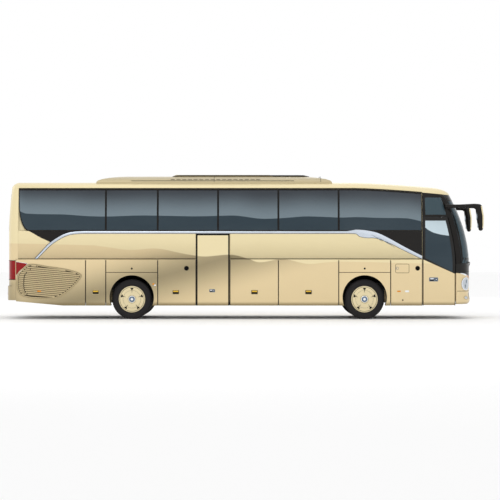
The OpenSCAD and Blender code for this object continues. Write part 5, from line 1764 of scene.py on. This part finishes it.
@dataclass
class Cabin:
    """Seats with stuffed pads, the dashboard and the floors."""

    shop: Workshop
    pitch: float = 0.820

    def build(self) -> None:
        """Fits out the cabin."""
        shop = self.shop
        shop.refine("deck", shop.finish["floor_cover"])
        shop.refine("steps", shop.finish["floor_cover"], 0.003)
        shop.refine("hold_tray", shop.finish["hold_lining"])
        shop.refine("dashboard", shop.finish["dash_plastic"], 0.012)
        shop.refine("steering_wheel", shop.finish["dash_plastic"], smooth=50)
        self.gauges()
        self.seats()

    def places(self) -> list[Vector]:
        """Returns the front lower corner's middle of each single seat."""
        aisle, out = 0.280, 1.160
        half = (out - aisle) / 2
        low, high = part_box("middle_door")
        places = [Vector((4.7125, 0.660, 1.050))]
        for i in range(11):
            x = 3.4125 - self.pitch * i
            places += [Vector((x, aisle + half * (k + 0.5), 1.530)) for k in (0, 1)]
            if x > high.x + 0.120 or x + 0.520 < low.x:
                places += [Vector((x, -(aisle + half * (k + 0.5)), 1.530)) for k in (0, 1)]
        return places

    def seats(self) -> None:
        """Replaces the seats' blocks by shells and stuffed pads."""
        shop, width = self.shop, 0.426
        places = self.places()
        base = self.pad("cushion",
                        [(0.085, 0.300), (0.500, 0.318), (0.507, 0.425), (0.495, 0.442), (0.105, 0.420)],
                        width - 0.012)
        back = self.pad("backrest",
                        [(0.105, 0.400), (0.060, 0.770), (0.000, 1.130), (-0.030, 1.140), (-0.080, 1.125),
                                     (-0.050, 0.760), (0.008, 0.400)], width - 0.012)
        for name, mesh in (("seat_cushions", base), ("seat_backs", back)):
            piece = shop.add(name, self.copies(mesh, places), shop.finish.cloth, COACH, Slot.CLOTH)
        shell = Solid()
        outline = [(0.105, 0.292), (0.495, 0.305), (0.500, 0.290), (0.385, 0.276), (0.110, 0.276),
                   (-0.024, 0.290),
                   (-0.094, 1.110), (-0.089, 1.130), (-0.078, 1.130), (-0.010, 0.300)]
        w = width / 2 - 0.006
        shell.prism(*([Vector((x, y, z)) for x, z in outline] for y in (w, -w)))
        shell.box((0.120, -0.150, 0.002), (0.370, -0.110, 0.284))
        shell.box((0.120, 0.110, 0.002), (0.370, 0.150, 0.284))
        for sign in (-1, 1):
            shell.tube([Vector((0.02, sign * (w - 0.012), 0.640)), Vector((0.30, sign * (w - 0.012), 0.632)),
                        Vector((0.345, sign * (w - 0.012), 0.615))], 0.017, 10)
        shell.tube([Vector((-0.060, -0.07, 1.085)), Vector((-0.060, 0.07, 1.085))], 0.014, 8)
        mesh = self.copies(shell.mesh("shell", 40), places)
        shop.add("seat_shells", mesh, shop.finish["seat_shell"], COACH, Slot.DASH, 0.0, ("seats",))

    def copies(self, mesh: bpy.types.Mesh, places: Sequence[Vector]) -> bpy.types.Mesh:
        """Returns one mesh with a copy at each place."""
        bm = bmesh.new()
        for place in places:
            start = len(bm.verts)
            bm.from_mesh(mesh)
            bm.verts.ensure_lookup_table()
            for vert in bm.verts[start:]:
                vert.co += place
        out = bpy.data.meshes.new(mesh.name)
        bm.to_mesh(out)
        bm.free()
        out.shade_smooth()
        return out

    def pad(self, name: str, outline: Sequence[Point], width: float) -> bpy.types.Mesh:
        """A pad swollen by its stuffing.

        Args:
            name: the pad's name.
            outline: its side view, (x, z).
            width: how wide it is.

        Returns:
            The pad's mesh.
        """
        block = Solid().prism(*([Vector((x, y, z)) for x, z in outline] for y in (width / 2, -width / 2)))
        mesh = block.mesh(name)
        piece = bpy.data.objects.new(name, mesh)
        bpy.context.collection.objects.link(piece)
        grid = piece.modifiers.new("grid", "REMESH")
        grid.mode, grid.voxel_size = "VOXEL", 0.038
        swell = piece.modifiers.new("swell", "CLOTH")
        swell.settings.use_pressure, swell.settings.uniform_pressure_force = True, 4.0
        swell.settings.effector_weights.gravity = 0.0
        swell.point_cache.frame_start, swell.point_cache.frame_end = 1, 20
        scene = bpy.context.scene
        for number in range(1, 21):
            scene.frame_set(number)
            bpy.context.view_layer.update()
        soft = piece.modifiers.new("soft", "SUBSURF")
        soft.levels = soft.render_levels = 1
        graph = bpy.context.evaluated_depsgraph_get()
        result = bpy.data.meshes.new_from_object(piece.evaluated_get(graph))
        bpy.data.objects.remove(piece)
        bpy.context.scene.frame_set(1)
        low = [min(p) for p in zip(*((x, z) for x, z in outline))]
        high = [max(p) for p in zip(*((x, z) for x, z in outline))]
        for vert in result.vertices:
            vert.co.x = min(max(vert.co.x, low[0] - 0.004), high[0] + 0.003)
            vert.co.y = min(max(vert.co.y, -width / 2 - 0.004), width / 2 + 0.004)
            vert.co.z = min(max(vert.co.z, low[1]), high[1] + 0.008)
        return result

    def gauges(self) -> None:
        """Adds the dashboard's instruments and its dark panels."""
        shop = self.shop
        x0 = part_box("dashboard")[0].x - 0.003
        dials = Solid()
        for y, r in ((0.575, 0.060), (0.445, 0.060), (0.34, 0.035), (0.26, 0.035)):
            rows = [[Vector((x0 + d, y + q * math.cos(2 * math.pi * k / 32),
                             1.345 + q * math.sin(2 * math.pi * k / 32)))
                     for k in range(32)]
                    for q, d in ((r, 0.004), (r, -0.004), (r * 0.86, -0.004), (r * 0.86, 0.004))]
            dials.ring(rows)
        shop.make("dials", dials, shop.finish["chrome"], slot=Slot.DASH)
        panel = Solid().box((x0 - 0.001, 0.20, 1.270), (x0 + 0.004, 0.655, 1.420))
        panel.box((x0 - 0.003, -0.40, 1.250), (x0 + 0.004, 0.05, 1.400))
        shop.make("panels", panel, shop.finish["gloss_black"], slot=Slot.DASH, edge=0.002)


@dataclass
class Underside:
    """The frame, axles, springs and engine."""

    shop: Workshop

    def build(self) -> None:
        """Dresses what is under the floor."""
        shop = self.shop
        for node, finish, edge in (
            ("front_frame", "chassis_black", 0.0), ("rear_frame", "chassis_black", 0.0),
            ("front_axle", "cast_iron", 0.004),
            ("rear_axle", "cast_iron", 0.004), ("air_springs", "rubber_black", 0.0),
            ("engine", "engine_metal", 0.006),
            ("wheel_housings", "arch_black", 0.0), ("tie_rod", "chassis_black", 0.0),
            ("right_knuckle", "cast_iron", 0.003),
            ("left_knuckle", "cast_iron", 0.003),
        ):
            shop.refine(node, shop.finish[finish], edge)


@dataclass(frozen=True)
class Studio:
    """Pale floor, soft lights and the camera."""

    eye: tuple[float, float, float] = (0.135, -45.0, 1.813)
    lens: float = 120.2
    white: float = 1.0

    def build(self) -> None:
        """Sets the studio up."""
        scene = bpy.context.scene
        world = bpy.data.worlds.new("studio")
        world.use_nodes = True
        back = world.node_tree.nodes["Background"]
        back.inputs[0].default_value, back.inputs[1].default_value = (1, 1, 1, 1), self.white
        scene.world = world
        scene.view_settings.view_transform = "Standard"
        for name, place, size, power, aim in (
            ("key", (-6.0, -16.0, 13.0), 12.0, 420, (0, 0, 1.5)),
            ("fill", (9.0, -18.0, 6.0), 12.0, 100, (0, 0, 1.8)),
            ("top", (0.0, 0.0, 14.0), 14.0, 160, (0, 0, 0)),
            ("rear", (-18.0, 8.0, 9.0), 8.0, 150, (-4, 0, 2)),
            ("far", (4.0, 18.0, 9.0), 10.0, 150, (0, 0, 1.5)),
        ):
            data = bpy.data.lights.new(name, "AREA")
            data.shape, data.size, data.energy = "DISK", size, power
            lamp = bpy.data.objects.new(name, data)
            lamp.location = place
            lamp.rotation_euler = (Vector(aim) - Vector(place)).to_track_quat("-Z", "Y").to_euler()
            scene.collection.objects.link(lamp)
        ground = Solid().sheet([[Vector((x, y, -0.001)) for x in (-90, 90)] for y in (-60, 90)],
                               [[Vector((x, y, -0.02)) for x in (-90, 90)] for y in (-60, 90)]).mesh("floor")
        ground.materials.append(Finish("floor_pale", tint(250, 250, 250), 0.9, grain=0.5, vary=0.0).build())
        floor = bpy.data.objects.new("floor", ground)
        scene.collection.objects.link(floor)
        data = bpy.data.cameras.new("camera")
        data.lens, data.sensor_width, data.clip_end = self.lens, 36.0, 500.0
        camera = bpy.data.objects.new("camera", data)
        camera.location = self.eye
        camera.rotation_euler = (math.pi / 2, 0, 0)
        scene.collection.objects.link(camera)
        scene.camera = camera


def main() -> None:
    """Dresses the coach and sets the studio up."""
    logging.basicConfig(level=logging.INFO)
    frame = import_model()
    shop = Workshop(frame, Skin.measured(), Finishes(), Repeater())
    for part in (Body, Seams, Waistline, Glazing, Doors, Grille, Fittings, FrontEnd, RearEnd, Wheels, Cabin,
                 Underside):
        part(shop).build()
        log.info("%s done", part.__name__)
    Studio().build()


if __name__ == "__main__":
    main()
